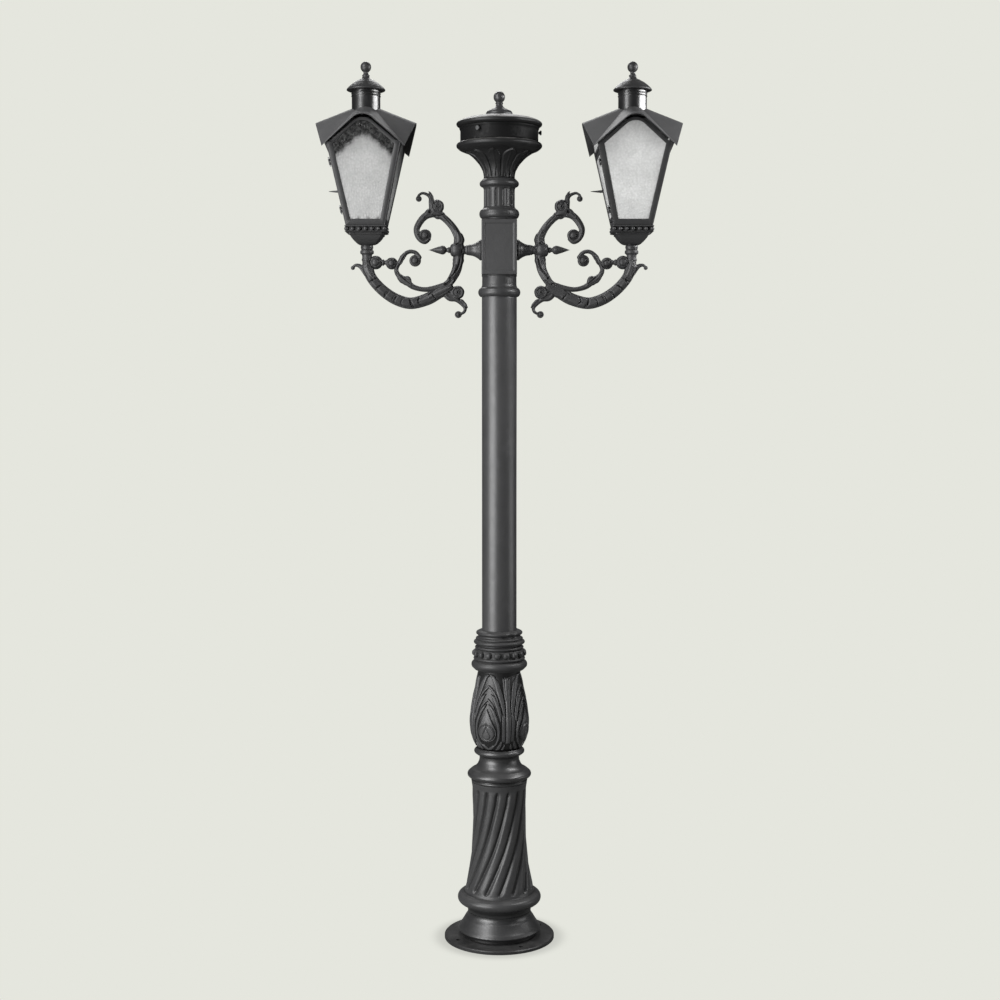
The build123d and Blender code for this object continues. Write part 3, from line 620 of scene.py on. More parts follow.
def frosted(name, shade_dark, shade_light, band, band_shade):
    """Hammered opal glass: pale, lit through, with a mottled darker band along the arch: painted shade under the hood,
    also less see-through there.
    """
    m, nt, p, co, out = new_mat(name)
    v = nt.nodes.new("ShaderNodeTexVoronoi")
    v.feature = "SMOOTH_F1"
    v.inputs["Scale"].default_value = 105.0
    v.inputs["Smoothness"].default_value = 0.8
    nt.links.new(co, v.inputs["Vector"])
    cloud = noise(nt, co, 9.0, 5.0, 0.6, 0.5)
    base = ramp(nt, cloud, [(0.32, grey(shade_dark, (1.0, 1.0, 0.995))), (0.68, grey(shade_light, (1.0, 1.0, 0.995)))])
    att = nt.nodes.new("ShaderNodeAttribute")
    att.attribute_name = "arch"
    mott = noise(nt, co, 62.0, 5.0, 0.75, 0.6)
    mul = nt.nodes.new("ShaderNodeMath")
    mul.operation = "MULTIPLY"
    nt.links.new(att.outputs["Fac"], mul.inputs[0])
    nt.links.new(maprange(nt, mott, 0.32, 0.58, 0.84 * band, band), mul.inputs[1])
    arch_shade = mul.outputs[0]
    base = mix(nt, arch_shade, base, grey(band_shade))
    nt.links.new(base, p.inputs["Base Color"])
    nt.links.new(maprange(nt, noise(nt, co, 40.0, 5.0), 0.3, 0.7, 0.24, 0.42), p.inputs["Roughness"])
    n1 = bump(nt, v.outputs["Distance"], 0.6, 0.0016)
    nt.links.new(bump(nt, noise(nt, co, 500.0, 3.0), 1.0, 0.00015, n1), p.inputs["Normal"])
    p.inputs["Subsurface Weight"].default_value = 0.0
    p.inputs["Transmission Weight"].default_value = 0.0
    # lit through: part of the light is passed on and scattered
    tl = nt.nodes.new("ShaderNodeBsdfTranslucent")
    nt.links.new(base, tl.inputs["Color"])
    tr = nt.nodes.new("ShaderNodeBsdfTransparent")
    tr.inputs["Color"].default_value = (0.93, 0.94, 0.93, 1.0)
    m1 = nt.nodes.new("ShaderNodeMixShader")
    nt.links.new(maprange(nt, cloud, 0.3, 0.7, 0.30, 0.40), m1.inputs["Fac"])
    nt.links.new(p.outputs["BSDF"], m1.inputs[1])
    nt.links.new(tl.outputs["BSDF"], m1.inputs[2])
    clear = maprange(nt, v.outputs["Distance"], 0.0, 0.8, 0.26, 0.42)
    block = maprange(nt, arch_shade, 0.0, 1.0, 1.0, 0.04)
    mul2 = nt.nodes.new("ShaderNodeMath")
    mul2.operation = "MULTIPLY"
    nt.links.new(clear, mul2.inputs[0])
    nt.links.new(block, mul2.inputs[1])
    m2 = nt.nodes.new("ShaderNodeMixShader")
    nt.links.new(mul2.outputs[0], m2.inputs["Fac"])
    nt.links.new(m1.outputs["Shader"], m2.inputs[1])
    nt.links.new(tr.outputs["BSDF"], m2.inputs[2])
    nt.links.new(m2.outputs["Shader"], out.inputs["Surface"])
    return m


# the same glass in both lanterns as lit and shaded copies: the left one painted darker, with near-black painted shade
# along the arch; the right one paler, with a faint grey band
GLASS_R = frosted("hammered_glass_right", 228, 253, 0.15, 130)
GLASS_L = frosted("hammered_glass_left", 206, 226, 1.0, 6)


# ------------------------------------------------------------------ post castings
def wrap(a):
    """Angle brought to -pi..pi."""
    return (a + PI) % (2 * PI) - PI


# base foot: smooth turned casting
foot = revolve([(170, 16.6), (172.6, 16.8), (174, 20), (174.5, 31), (177, 37.4), (183.5, 39.8), (188.6, 41), ("a", (191.4, 45.4), (189.6, 50)),
                ("a", (185.4, 57), (180.4, 63.6)), ("a", (168.4, 82), (158.6, 99)), ("a", (150.0, 112), (146.6, 121)), (146, 128)],
               inner=[(134, 128), (134, 112), (146, 86), (153, 64), (157, 40)], step=1.0, nang=256, soft=2)
# painted shade in the crease at the top and near black in the gap under the rim
add_float(piece("foot_casting", foot, FOOT, "post", ["base_foot"]), "grime", creases(foot, [(126.0, 9.0, 0.7), (26.0, 12.0, 1.0)]))

# pedestal: spiral flutes that start on the round shoulder and end in round tops
N_FLUTE = 15
TW_Z = np.array([150.0, 200.0, 240.0, 250.0, 280.0, 320.0, 360.0, 400.0, 440.0, 480.0, 520.0, 560.0, 600.0, 650.0, 700.0, 740.0])
TW_A = np.radians([-60.0, -52.0, -45.0, -43.5, -38.5, -31.5, -24.0, -16.5, -9.5, -3.0, 2.8, 8.0, 13.0, 18.5, 22.0, 23.5]) - math.radians(2.0)


def flutes(th, r, z):
    """Round reeds with narrow valleys, wound about the shaft, closed off round at both ends."""
    a = np.interp(z, TW_Z, TW_A)
    ph = (th - a) * N_FLUTE / (2 * PI)
    u = ph - np.round(ph)                      # 0 in the valley, 0.5 on the crown
    arc = np.abs(u) * 2 * PI / N_FLUTE * r     # mm from the valley
    full = PI / N_FLUTE * r
    zl, zh = 234.0, 712.0
    end = np.minimum((z - zl) * 1.3, zh - z)
    k = np.sqrt(np.clip(1 - np.clip(1 - end / 24.0, 0, 1) ** 2, 0, 1))
    wide = (0.36 * full) * k + 1e-3
    valley = np.exp(-(arc / wide) ** 2.2) * k
    crown = 1 - (1 - arc / full) ** 2
    crown = (crown - 1.0) * k
    return (-7.4 * valley + 2.6 * crown) * (end > 0)


pedestal = revolve([(134, 128), (145, 128.6), (147, 134), (149.5, 147), (153, 158), (158, 164.4), (166, 167), (175, 167.6), ("a", (193.5, 190), (178, 214)),
                    (170, 218.6), (163.5, 220.4), (160.6, 224.5), (158, 233), ("a", (155.2, 252), (150.5, 274)), ("a", (141, 322), (134, 370)),
                    ("a", (126, 460), (123, 540)), (122.5, 620), (124.5, 670), (124.5, 712), (128.5, 737.5)],
                   inner=[(110, 737.5), (110, 660), (110, 540), (112, 440), (120, 360), (134, 270), (146, 224),
                          (155, 189), (146, 160), (134, 150)],
                   step=2.0, nang=884, soft=2, relief=flutes)
# painted shade in the flute valleys, in the crease above the round bead and under the bead
add_float(piece("spiral_flutes", pedestal, FLUTE, "post", ["spiral_pedestal"]), "grime",
          np.maximum(hollows(pedestal, -8.0, -3.0, 0.6), creases(pedestal, [(221.5, 4.5, 0.6), (148.0, 13.0, 0.9)])))

waist = revolve([(112, 738), (126.5, 738), (128.6, 741), ("a", (130.0, 746), (127.6, 750.4)), (125.6, 753), (128.4, 756), (137, 759.6),
                 ("a", (147.4, 773), (143.4, 784)), (138, 789), (127, 798), ("a", (107, 811), (97.0, 827)), ("a", (92.8, 838), (91.6, 851)), (92.2, 860), (105, 867), (108.5, 870), ("a", (116.5, 881), (108.5, 893)),
                 (104, 897.6)],
                inner=[(66, 897.6), (66, 742)], step=1.4, nang=256, soft=3)
# painted shade in the creases between the rings
add_float(piece("waist_ring", waist, FOOT, "post", ["waist_collar"]), "grime",
          creases(waist, [(754.0, 4.0, 0.8), (858.0, 6.0, 0.7), (898.0, 4.0, 0.8)]))

# baluster: four leaf panels with a drop medallion, reeds between
PANELS = np.radians([-26.0, 64.0, 154.0, 244.0])


def stroke_h(U, Z, pts, wid, H, edge=2.2, ridge=0.35, vein=0.0):
    """Height of a raised blade along pts (u, z) with half widths wid."""
    best = np.zeros(np.broadcast(U, Z).shape)
    for (a, b), (c, d), wa, wb in zip(pts, pts[1:], wid, wid[1:]):
        dx, dz = c - a, d - b
        t = np.clip(((U - a) * dx + (Z - b) * dz) / (dx * dx + dz * dz), 0, 1)
        dist = np.hypot(U - a - t * dx, Z - b - t * dz)
        w = wa + (wb - wa) * t
        q = np.clip((w - dist) / edge, 0, 1)
        h = H * np.sqrt(q) * (1 - ridge + ridge * np.clip(1 - dist / w, 0, 1))
        if vein:
            h = h - vein * np.exp(-(dist / (0.16 * w + 0.5)) ** 2) * q
        best = np.maximum(best, h)
    return best


def drop_sdf(U, Z, cz, r, tip):
    """Distance inside a drop: circle radius r about (0, cz) drawn up to a point at tip."""
    L = tip - cz
    s = r / L
    c = math.sqrt(1 - s * s)
    X, Y = np.abs(U), Z - cz
    cone = X * c + Y * s - r
    circ = np.hypot(X, Y) - r
    return np.where(Y * c - X * s > 0, cone, circ)


BLADES = [
    # along (u, z), half widths, height: leaves fall from the axis to both sides
    ([(4, 1250), (24, 1238), (46, 1206), (62, 1164), (74, 1122), (80, 1084), (82, 1062)], [4, 10, 15, 14, 10.5, 7, 2.5], 7.6),
    ([(0, 1199), (16, 1187), (32, 1171), (46, 1148), (55, 1122)], [5.5, 6.5, 6, 5, 2], 8.6),
    ([(16, 1163), (31, 1148), (43, 1128), (55, 1101), (62, 1072), (65, 1044)], [3, 8.5, 10, 10, 8.5, 3], 8.0),
    ([(0, 1140), (15, 1127), (29, 1110), (40, 1088)], [5.5, 6, 5, 2], 9.2),
    ([(6, 1118), (19, 1104), (33, 1083), (44, 1056), (52, 1028), (56, 998), (55, 964), (44, 936), (32, 924)],
     [3, 7, 8, 8, 7.5, 7, 6.5, 5, 2.5], 8.4),
]


def panel_relief(th, r, z):
    th = np.broadcast_to(th, (z.shape[0], th.shape[1]))
    near = wrap(th - PANELS[0])
    for p in PANELS[1:]:
        alt = wrap(th - p)
        near = np.where(np.abs(alt) < np.abs(near), alt, near)
    U = near * 128.0                        # panel width in mm at the middle radius
    Z = np.broadcast_to(z, th.shape)
    A = np.abs(U)
    H = np.zeros(th.shape)
    # one long reed between the panels and a lower, flat one each side of it
    mid = 100.5 - A
    reed = np.sqrt(np.clip(1 - (mid / 12.0) ** 2, 0, 1))
    H = np.maximum(H, 8.0 * reed * smoothstep(Z, 926, 944) * (1 - smoothstep(Z, 1228, 1243)))
    flat = np.sqrt(np.clip(1 - ((mid - 21.5) / 8.0) ** 4, 0, 1))
    H = np.maximum(H, 5.6 * flat * smoothstep(Z, 936, 950) * (1 - smoothstep(Z, 1058, 1078)))
    fan = np.sqrt(np.clip(1 - ((mid - 3.0 - 0.10 * (Z - 1080)) / 6.0) ** 2, 0, 1)) * smoothstep(Z, 1120, 1140) * (1 - smoothstep(Z, 1226, 1240))
    H = np.maximum(H, 6.0 * fan)
    for pts, wid, hh in BLADES:
        H = np.maximum(H, stroke_h(A, Z, pts, wid, hh, edge=3.0, ridge=0.34, vein=0.9))
    # small dark eyes under each meeting of the leaves
    for zc, w in ((1214.0, 6.5), (1168.0, 6.0), (1119.0, 4.0)):
        H = H * (1 - np.exp(-((A / w) ** 2 + ((Z - zc) / (1.7 * w)) ** 2) ** 1.5))
    # drop medallion: outer drop, round shield with a cleft, small drop inside
    d = drop_sdf(U, Z, 988.0, 46.0, 1100.0)
    inside = smoothstep(-d, 0.0, 3.0)
    med = 7.6 * inside + 1.6 * smoothstep(-d, 3.0, 22.0)
    disc = np.hypot(U, Z - 985.0)
    med = med - 3.4 * np.exp(-((disc - 39.0) / 2.4) ** 2) + 2.4 * smoothstep(-(disc - 37.0), 0.0, 6.0)
    med = med - 3.4 * np.exp(-((U / 5.0) ** 2 + ((Z - 1020.0) / 13.0) ** 2))
    e = drop_sdf(U, Z, 973.0, 18.0, 1013.0)
    med = med - 2.8 * np.exp(-(e / 2.2) ** 2) + 1.0 * smoothstep(-e, 2.0, 10.0)
    H = np.where((d > 0) & (d < 4.0), H * smoothstep(d, 0.0, 4.0) * 0.8, H)
    H = np.where(d <= 0, np.maximum(med, 0.6), H)
    # leaves that curl up under the medallion
    for pts, wid, hh in (([(0, 903), (12, 910), (26, 919), (38, 929)], [7, 8, 7, 2.5], 7.8),
                         ([(40, 902), (52, 911), (63, 926), (69, 945)], [4, 8.5, 8, 3], 7.2),
                         ([(70, 902), (79, 912), (84, 928)], [4, 7, 3], 6.4)):
        H = np.maximum(H, stroke_h(A, Z, pts, wid, hh, ridge=0.4, vein=1.2) * (d > 2))
    H = H * smoothstep(Z, 899, 906) * (1 - smoothstep(Z, 1247, 1255))
    return H - 8.2


baluster = revolve([(107, 898.4), ("a", (125, 936), (136, 990)), ("a", (138.5, 1022), (135, 1062)),
                    ("a", (127, 1120), (114, 1180)), (105, 1240), (107, 1261.6)],
                   inner=[(84, 1261.6), (84, 898.4)], step=1.3, nang=720, soft=1, relief=panel_relief)
# painted shade in the hollows of the leaf relief
add_float(piece("leaf_panels", baluster, LEAF, "post", ["leaf_baluster"]), "grime", hollows(baluster, -8.2, -2.2, 0.95))


def bead_row(th, r, z):
    n = 17
    ph = (th + math.radians(4.4)) * n / (2 * PI)
    u = (ph - np.round(ph)) * 2 * PI / n * 122.0
    q = np.clip(1 - (np.abs(u) / 15.6) ** 3 - (np.abs(z - 1339.0) / 13.6) ** 3, 0, 1)
    return 15.4 * np.sqrt(q)


def collar_relief(th, r, z):
    # on the front right the top ring carries a small crumpled leaf
    t = np.degrees(wrap(th))
    on = smoothstep(t, 2.0, 14.0) * (1 - smoothstep(t, 52.0, 66.0))
    crest = np.exp(-((z - 1437.0 - 2.5 * np.sin(np.radians(t * 14))) / 4.5) ** 2)
    under = np.exp(-((z - 1423.0 - 3.0 * np.sin(np.radians(t * 14 + 40))) / 5.0) ** 2)
    leafy = on * (2.6 * crest * (0.6 + 0.4 * np.cos(np.radians(t * 22))) - 5.0 * under)
    return bead_row(th, r, z) + leafy


collar = revolve([(104, 1262.4), (112, 1262.4), (125, 1275), ("a", (128.6, 1289), (121.5, 1302)), (113, 1304.5), (110.5, 1307), (115.5, 1309.5),
                  ("a", (119, 1315), (115.5, 1320.5)), (110.5, 1324), (110, 1326), (110.5, 1352), (107, 1354.5), (104, 1357.5), (109, 1361),
                  ("a", (112.2, 1366), (109, 1371)), (101, 1374), (99, 1379), (109, 1382), ("a", (117.6, 1390), (108, 1399)), (104, 1402),
                  ("a", (108.6, 1407), (103.6, 1412)), (98, 1415.5), (97, 1421), (101, 1425), ("a", (106.6, 1433), (102.5, 1440)), (91, 1445.5), (82, 1446)],
                 inner=[(80.5, 1446), (80.5, 1262.4)], step=1.1, nang=540, soft=1, relief=collar_relief, rmax=128.9)
piece("beaded_collar", collar, CAST_FINE, "post", ["bead_collar"])

ring2 = revolve([(81, 2966), (86, 2967), (88.5, 2969.5), ("a", (95.6, 2987), (88.5, 3003.5)), (81.5, 3008), (80.5, 3011), (79.5, 3013),
                 (78, 3020), (77.6, 3056), (79.5, 3059), (80.6, 3062.4)],
                inner=[(62, 3062.4), (62, 2966)], step=1.3, nang=224, soft=2)
TUBE_LO, TUBE_HI = [[c / MM for c in p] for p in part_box("shaft_tube")]
rt = (TUBE_HI[0] - TUBE_LO[0]) / 2
shaft = revolve([(rt - 5, TUBE_LO[2]), (rt - 0.8, TUBE_LO[2]), (rt, TUBE_LO[2] + 0.8), (rt, TUBE_HI[2] - 0.8), (rt - 0.8, TUBE_HI[2]),
                 (rt - 5, TUBE_HI[2])],
                inner=[(rt - 5, TUBE_HI[2] - 200), (rt - 5, TUBE_LO[2] + 200)], step=9.0, nang=160, soft=0,
                relief=lambda th, r, z: 0.16 * (np.sin(3 * th + z / 310.0) + np.sin(2 * th - z / 190.0)) * (r > rt - 0.5) - 0.3)
piece("shaft_pipe", shaft, TUBE, "post", ["shaft_tube"])
piece("shaft_top_ring", ring2, CAST, "post", ["shaft_ring"])

# ------------------------------------------------------------------ arm block with a soft raised border
def arm_block():
    h = BLOCK_HI[0] - 2.4
    z0, z1 = BLOCK_LO[2], BLOCK_HI[2]
    shell = rounded_box(-h, h, -h + 3.2, h - 0.0, z0 + 0.2, z1 - 0.2, 3.0)
    parts = [shell]
    # front border, mitred look from four half-round strips
    b = 15.0
    for x0, x1, zz0, zz1 in ((-h, -h + b, z0 + 0.2, z1 - 0.2), (h - b, h, z0 + 0.2, z1 - 0.2),
                             (-h + b - 3, h - b + 3, z0 + 0.2, z0 + 18), (-h + b - 3, h - b + 3, z1 - 18, z1 - 0.2)):
        parts.append(rounded_box(x0, x1, -h, -h + 9, zz0, zz1, 2.2))
    # inner bead of the border
    for x0, x1, zz0, zz1 in ((-h + b - 1, -h + b + 3.4, z0 + 17, z1 - 17), (h - b - 3.4, h - b + 1, z0 + 17, z1 - 17),
                             (-h + b - 1, h - b + 1, z0 + 17, z0 + 21.4), (-h + b - 1, h - b + 1, z1 - 21.4, z1 - 17)):
        parts.append(rounded_box(x0, x1, -h + 3.0, -h + 7, zz0, zz1, 1.9))
    return join(parts)


ab = fused("arm_block_skin", arm_block(), 1.9, 2)
piece("arm_block_casting", None, BLOCK, "post", ["arm_block"], mesh=ab, sharp=None)

# ------------------------------------------------------------------ capital
def neck_relief(th, r, z):
    n = 12
    ph = (th + math.radians(10.4)) * n / (2 * PI)
    u = np.abs(ph - np.round(ph))
    arc = u * 2 * PI / n * 70.0
    full = PI / n * 70.0
    end = np.minimum(z - 3366.0, 3450.0 - z)
    k = np.sqrt(np.clip(1 - np.clip(1 - end / 12.0, 0, 1) ** 2, 0, 1))
    groove = np.exp(-(arc / (5.6 * k + 1e-3)) ** 2.4) * k
    return (-4.6 * groove + 2.0 * ((1 - (1 - arc / full) ** 2) - 1) * k) * (end > 0)


neck = revolve([(62, 3309.4), (75.5, 3309.4), (77, 3312), (78.5, 3317), (84, 3320), ("a", (90.2, 3338), (84, 3354.5)), (75, 3361), (70.5, 3368),
                (70, 3376), (70, 3444), (71, 3450), (74.5, 3456), (83, 3460), ("a", (88.7, 3472), (83, 3483.5)), (74, 3493), (66, 3493.8)],
               inner=[(51, 3493.8), (51, 3309.4)], step=1.3, nang=480, soft=2, relief=neck_relief)
piece("fluted_neck", neck, CAST, "post", ["capital_neck"])


def bell_relief(th, r, z):
    """Ten broad leaves with round tops; dark darts open between them towards the rim."""
    n = 10
    ph = (th - math.radians(6.0)) * n / (2 * PI)
    u = np.abs(ph - np.round(ph))              # 0 between two leaves, 0.5 on a midrib
    low, high = 3498.0, 3611.0
    up = np.clip((z - low) / (high - low), 0, 1)
    arc = u * 2 * PI / n * r
    full = PI / n * r
    # leaf outline: the gap between leaves widens in the last third
    gap = 2.6 + 5.0 * up ** 2 + (full - 3.0) * np.clip((up - 0.72) / 0.28, 0, 1) ** 2.2
    inside = smoothstep(arc, gap - 2.0, gap + 3.0)
    dish = 1 - ((full - arc) / full) ** 2
    leaf_h = inside * (6.4 - 2.2 * (1 - dish))
    rib = np.exp(-((full - arc) / (2.0 + 2.5 * up)) ** 2) * 1.6 * (up > 0.3)
    dart = np.exp(-((full - arc) / (4.5 * np.clip(1 - up / 0.38, 0.02, 1))) ** 2) * 3.4 * np.clip(1 - up / 0.38, 0, 1) ** 0.5
    ends = np.clip((z - low) / 5.0, 0, 1) * np.clip((high + 2 - z) / 4.0, 0, 1)
    return (leaf_h + rib * inside - dart - 6.6) * ends


bell = revolve([(62, 3494.4), (69, 3494.4), (70.4, 3497), ("a", (77, 3534), (101, 3570)), ("a", (128, 3596), (160, 3614)), (176, 3620.5), (180, 3623),
                (187.5, 3629.5), ("a", (193.1, 3641), (187.5, 3650.5)), (180, 3654), (176, 3655.8), (168, 3656)],
               inner=[(120, 3656), (120, 3640), (92, 3616), (70, 3580), (58, 3534), (51, 3520), (51, 3494.4)],
               step=1.6, nang=720, soft=2, relief=bell_relief)
piece("fluted_bell", bell, CAP, "post", ["capital_bell"])

drum_out = [(170, 3656.4), (174.6, 3656.6), (175.4, 3659), (175.4, 3704), (176.4, 3709), (179.6, 3715), (179.8, 3720), (178.6, 3721.8), (170, 3721.8)]
drum = revolve(drum_out, inner=[(166.4, 3721.8), (166.4, 3656.4)], step=1.5, nang=256, soft=2)
piece("cap_band", drum, DRUM, "post", ["cap_drum"])

lid = revolve([(0, 3744.5), (154, 3744.5), (155, 3722.4), (181, 3722.4), (188.5, 3727.5), ("a", (193.1, 3736), (188.5, 3743.5)), ("a", (170, 3753.5), (139, 3761.5)),
               (100, 3768), (96, 3770.6), (85, 3771.6), (66, 3774.8), (0, 3775)], step=1.8, nang=256, soft=2)
piece("cap_cover", lid, CAP, "post", ["cap_lid"])

finial = revolve([(0, 3775.2), (58, 3775.2), (59.8, 3777), ("a", (57.6, 3790), (45, 3798.6)), (38, 3800), (36.5, 3803.4), (27, 3806), (17, 3816), (13.8, 3824),
                  (17.5, 3827.5), (17.5, 3831), (14.2, 3835), ("a", (25.9, 3857.5), (0, 3883.4))], step=1.1, nang=128, soft=2)
piece("cap_finial_ball", finial, CAST, "post", ["cap_finial"])

# slotted thumb screws round the cap band
def cap_screw():
    g = revolve([(0, -9.0), (4, -9.0), (8.6, -8.6), (10.3, -6.6), (10.3, -1.6), (9.2, -0.2), (6, 0.0), (6, 5.5), (0, 5.5)], step=0.7, nang=48, soft=1,
                relief=lambda th, r, z: -0.7 * (np.cos(th * 16) > 0.2) * (r > 9.9) * (z < -1.0))
    V = np.stack([g.V[:, 0], g.V[:, 2], g.V[:, 1]], -1)
    return Geo(V, g.Q, g.T).out().moved(0, -181.5, 3698)


piece("cap_thumb_screws", join([cap_screw().turned_z(a) for a in (-31, 89, 209)]), CAST_FINE, "post", ["cap_screws"])

# ------------------------------------------------------------------ scroll brackets and arms
UPPER = [(180, 3180, 40), (185, 3230, 38), (209, 3278, 33), (250, 3321, 31), (293, 3340, 34), (337, 3326, 32),
         (369, 3283, 29), (372, 3251, 26), (358, 3224, 22), (336, 3213, 20), (318, 3226, 18)]
TOP_CURL = [(298, 3344, 28), (306, 3384, 21), (314, 3416, 16), (342, 3431, 12.5), (362, 3423, 10.5), (366, 3412, 10)]
LOWER = [(183, 3170, 46), (190, 3100, 44), (209, 3056, 40), (234, 3024, 34), (278, 3008, 30), (338, 3000, 22),
         (388, 3011, 24), (420, 3035, 29), (455, 3062, 23), (466, 3090, 20), (452, 3122, 19), (432, 3154, 18),
         (405, 3170, 18), (378, 3165, 18), (360, 3144, 18)]
LOW_CURL = [(262, 3010, 38), (229, 2962, 24), (196, 2954, 20), (169, 2935, 18), (155, 2916, 16), (160, 2898, 13), (178, 2889, 12)]
MAIN = [(262, 2993, 48), (286, 2978, 52), (330, 2955, 53), (401, 2938, 51), (466, 2955, 50), (521, 2990, 48), (565, 3034, 46),
        (588, 3072, 46), (597, 3106, 46)]
HOOK = [(584, 3040, 16), (603, 3073, 26), (617, 3094, 26), (633, 3106, 19), (649, 3109, 14), (660, 3102, 11.5), (664, 3096, 11)]


def channel(s, ph):
    """Raised middle rib with a shallow channel each side, front and rear."""
    c = np.cos(ph)
    f = np.abs(np.sin(ph)) > 0.2
    return f * (-2.2 * np.exp(-((np.abs(c) - 0.60) / 0.13) ** 2) + 0.9 * np.exp(-(c / 0.22) ** 2))


def leaf(points, depth, tipped=True, veins=True):
    """Acanthus sheath laid over a limb: wider than it, ribbed, with a lifted edge."""
    def rel(s, ph):
        c = np.cos(ph)
        h = 1.3 * np.exp(-(c / 0.16) ** 2) - 1.5 * np.exp(-((np.abs(c) - 0.36) / 0.10) ** 2) + 1.2 * np.exp(-((np.abs(c) - 0.62) / 0.12) ** 2)
        return h * (np.abs(np.sin(ph)) > 0.2) + 0.7 * math.sin(s / 3.4) * (np.abs(c) > 0.7)
    return limb(points, depth, step=1.6, nphi=56, relief=rel if veins else None, square=2.2)


def eye(x, z, r, half=19.0):
    def rel(th, rr, zz):
        return -9.0 * np.exp(-((rr - 0.62 * r) / (0.15 * r)) ** 2) * (np.abs(zz) > 0.15 * r) + 0.0 * th
    return sphere(x, 0, z, r, half, n=64, relief=rel)


def bracket():
    parts = [
        limb(UPPER, 31, relief=channel, step=1.8, nphi=56),
        limb(TOP_CURL, 24, relief=channel, depth_end=15, step=1.8, nphi=48),
        limb(LOWER, 31, relief=channel, step=1.8, nphi=56, depth_end=26),
        limb(LOW_CURL, 27, relief=channel, depth_end=15, step=1.8, nphi=48),
        eye(335, 3242, 28.5, 21), eye(380.5, 3129, 26.5, 21), eye(363, 3406, 13.5, 12), eye(186, 2887, 16, 14),
        rosette(280.5, 3371.5, 32, 20.0, 6), rosette(188.7, 2987, 31, 20.8, 6, phase=0.3),
        sphere(192, 0, HUB_Z, 33, 33, n=64),
        # thick webs that join the rosettes to the scroll and the curls
        limb([(276, 3336, 44), (283, 3356, 40), (290, 3376, 34)], 25), limb([(300, 3346, 36), (305, 3372, 26), (309, 3394, 20)], 23),
        limb([(250, 3004, 50), (226, 2992, 50), (204, 2984, 44)], 27), limb([(232, 2972, 30), (210, 2962, 28), (190, 2957, 22)], 22),
        # rings and leaf cups round the hub
        leaf([(186, 3196, 44), (181, 3226, 47), (186, 3248, 30), (194, 3262, 8)], 37),
        leaf([(184, 3158, 48), (186, 3126, 50), (194, 3096, 36), (203, 3070, 8)], 37),
        # long leaf lying down the lower left sweep, folded over at its end
        leaf([(197, 3108, 20), (205, 3078, 25), (219, 3052, 24), (238, 3031, 18), (252, 3022, 7)], 39),
        leaf([(206, 3040, 12), (222, 3020, 20), (243, 3010, 22), (262, 3008, 8)], 35),
        # sheath where the upper scroll leaves the rosette stem
        leaf([(268, 3336, 30), (294, 3343, 40), (318, 3340, 40), (336, 3327, 20), (344, 3318, 6)], 37),
        leaf([(240, 3314, 20), (258, 3330, 32), (280, 3344, 30), (296, 3350, 8)], 35),
        # leaf points at the roots of the small curls
        leaf([(300, 3390, 16), (303, 3410, 14), (309, 3428, 10), (318, 3438, 3.5)], 22),
        leaf([(172, 2950, 14), (160, 2940, 13), (150, 2928, 9), (143, 2918, 3)], 22),
        # swollen leaf joint on the lower scroll
        leaf([(398, 3018, 20), (420, 3034, 33), (444, 3050, 33), (458, 3068, 16), (463, 3078, 5)], 35),
        leaf([(404, 3030, 16), (407, 3044, 17), (413, 3053, 15), (420, 3057, 9)], 29, veins=False),
        leaf([(448, 3118, 14), (440, 3140, 23), (428, 3156, 20), (416, 3165, 5)], 31),
    ]
    stub = revolve([(0, 138), (20, 138), (22.6, 140), (22.6, 147), (19, 151), (19, 158), (24, 162), (27.5, 168), (27.5, 176), (0, 176)],
                   step=1.5, nang=72, soft=2)
    parts.append(along_x(stub, 0))
    ringr = revolve([(0, 206), (26, 206), (28.5, 209), (28.5, 214), (24, 218), (18, 221.5), (0, 222)], step=1.5, nang=72, soft=2)
    parts.append(along_x(ringr, 0))
    return join(parts)


def carve(g, strokes, pits=(), rings=()):
    """Tool-like grooves sunk into the front and the rear; a stroke is (points, half width, share of depth). Grooves and
    pits also get painted shade, returned with the shape; a ring (x, z, radius, width, strength) is painted shade alone.
    """
    V = g.V.copy()
    XZ = V[:, [0, 2]]
    k = np.ones(len(V))
    groove_shade = np.zeros(len(V))
    for pts, wid, deep in strokes:
        P = even(catmull(list(pts), 8), 1.5)[0] if len(pts) > 2 else np.linspace(np.array(pts[0], float), np.array(pts[1], float), 16)
        near = (XZ[:, 0] > P[:, 0].min() - 12) & (XZ[:, 0] < P[:, 0].max() + 12) & (XZ[:, 1] > P[:, 1].min() - 12) & (XZ[:, 1] < P[:, 1].max() + 12)
        idx = np.nonzero(near)[0]
        D = np.hypot(XZ[idx, 0:1] - P[None, :, 0], XZ[idx, 1:2] - P[None, :, 1])
        j = D.argmin(1)
        d = D[np.arange(len(idx)), j]
        f = j / (len(P) - 1)
        w = wid * (0.45 + 0.55 * np.sin(PI * np.clip(f, 0.04, 0.96)) ** 0.6)
        k[idx] = np.minimum(k[idx], 1 - deep * np.exp(-(d / w) ** 2))
        groove_shade[idx] = np.maximum(groove_shade[idx], np.exp(-(d / (0.85 * w)) ** 2))
    for x, z, r, deep in pits:
        d = np.hypot(XZ[:, 0] - x, XZ[:, 1] - z)
        k = np.minimum(k, 1 - deep * np.exp(-(d / r) ** 4))
        groove_shade = np.maximum(groove_shade, 0.9 * np.exp(-(d / r) ** 4))
    for x, z, r, w, deep in rings:
        d = np.hypot(XZ[:, 0] - x, XZ[:, 1] - z)
        groove_shade = np.maximum(groove_shade, deep * np.exp(-((d - r) / w) ** 2))
    groove_shade = groove_shade * (np.abs(V[:, 1]) > 3.0)
    V[:, 1] *= k
    return Geo(V, g.Q, g.T), groove_shade


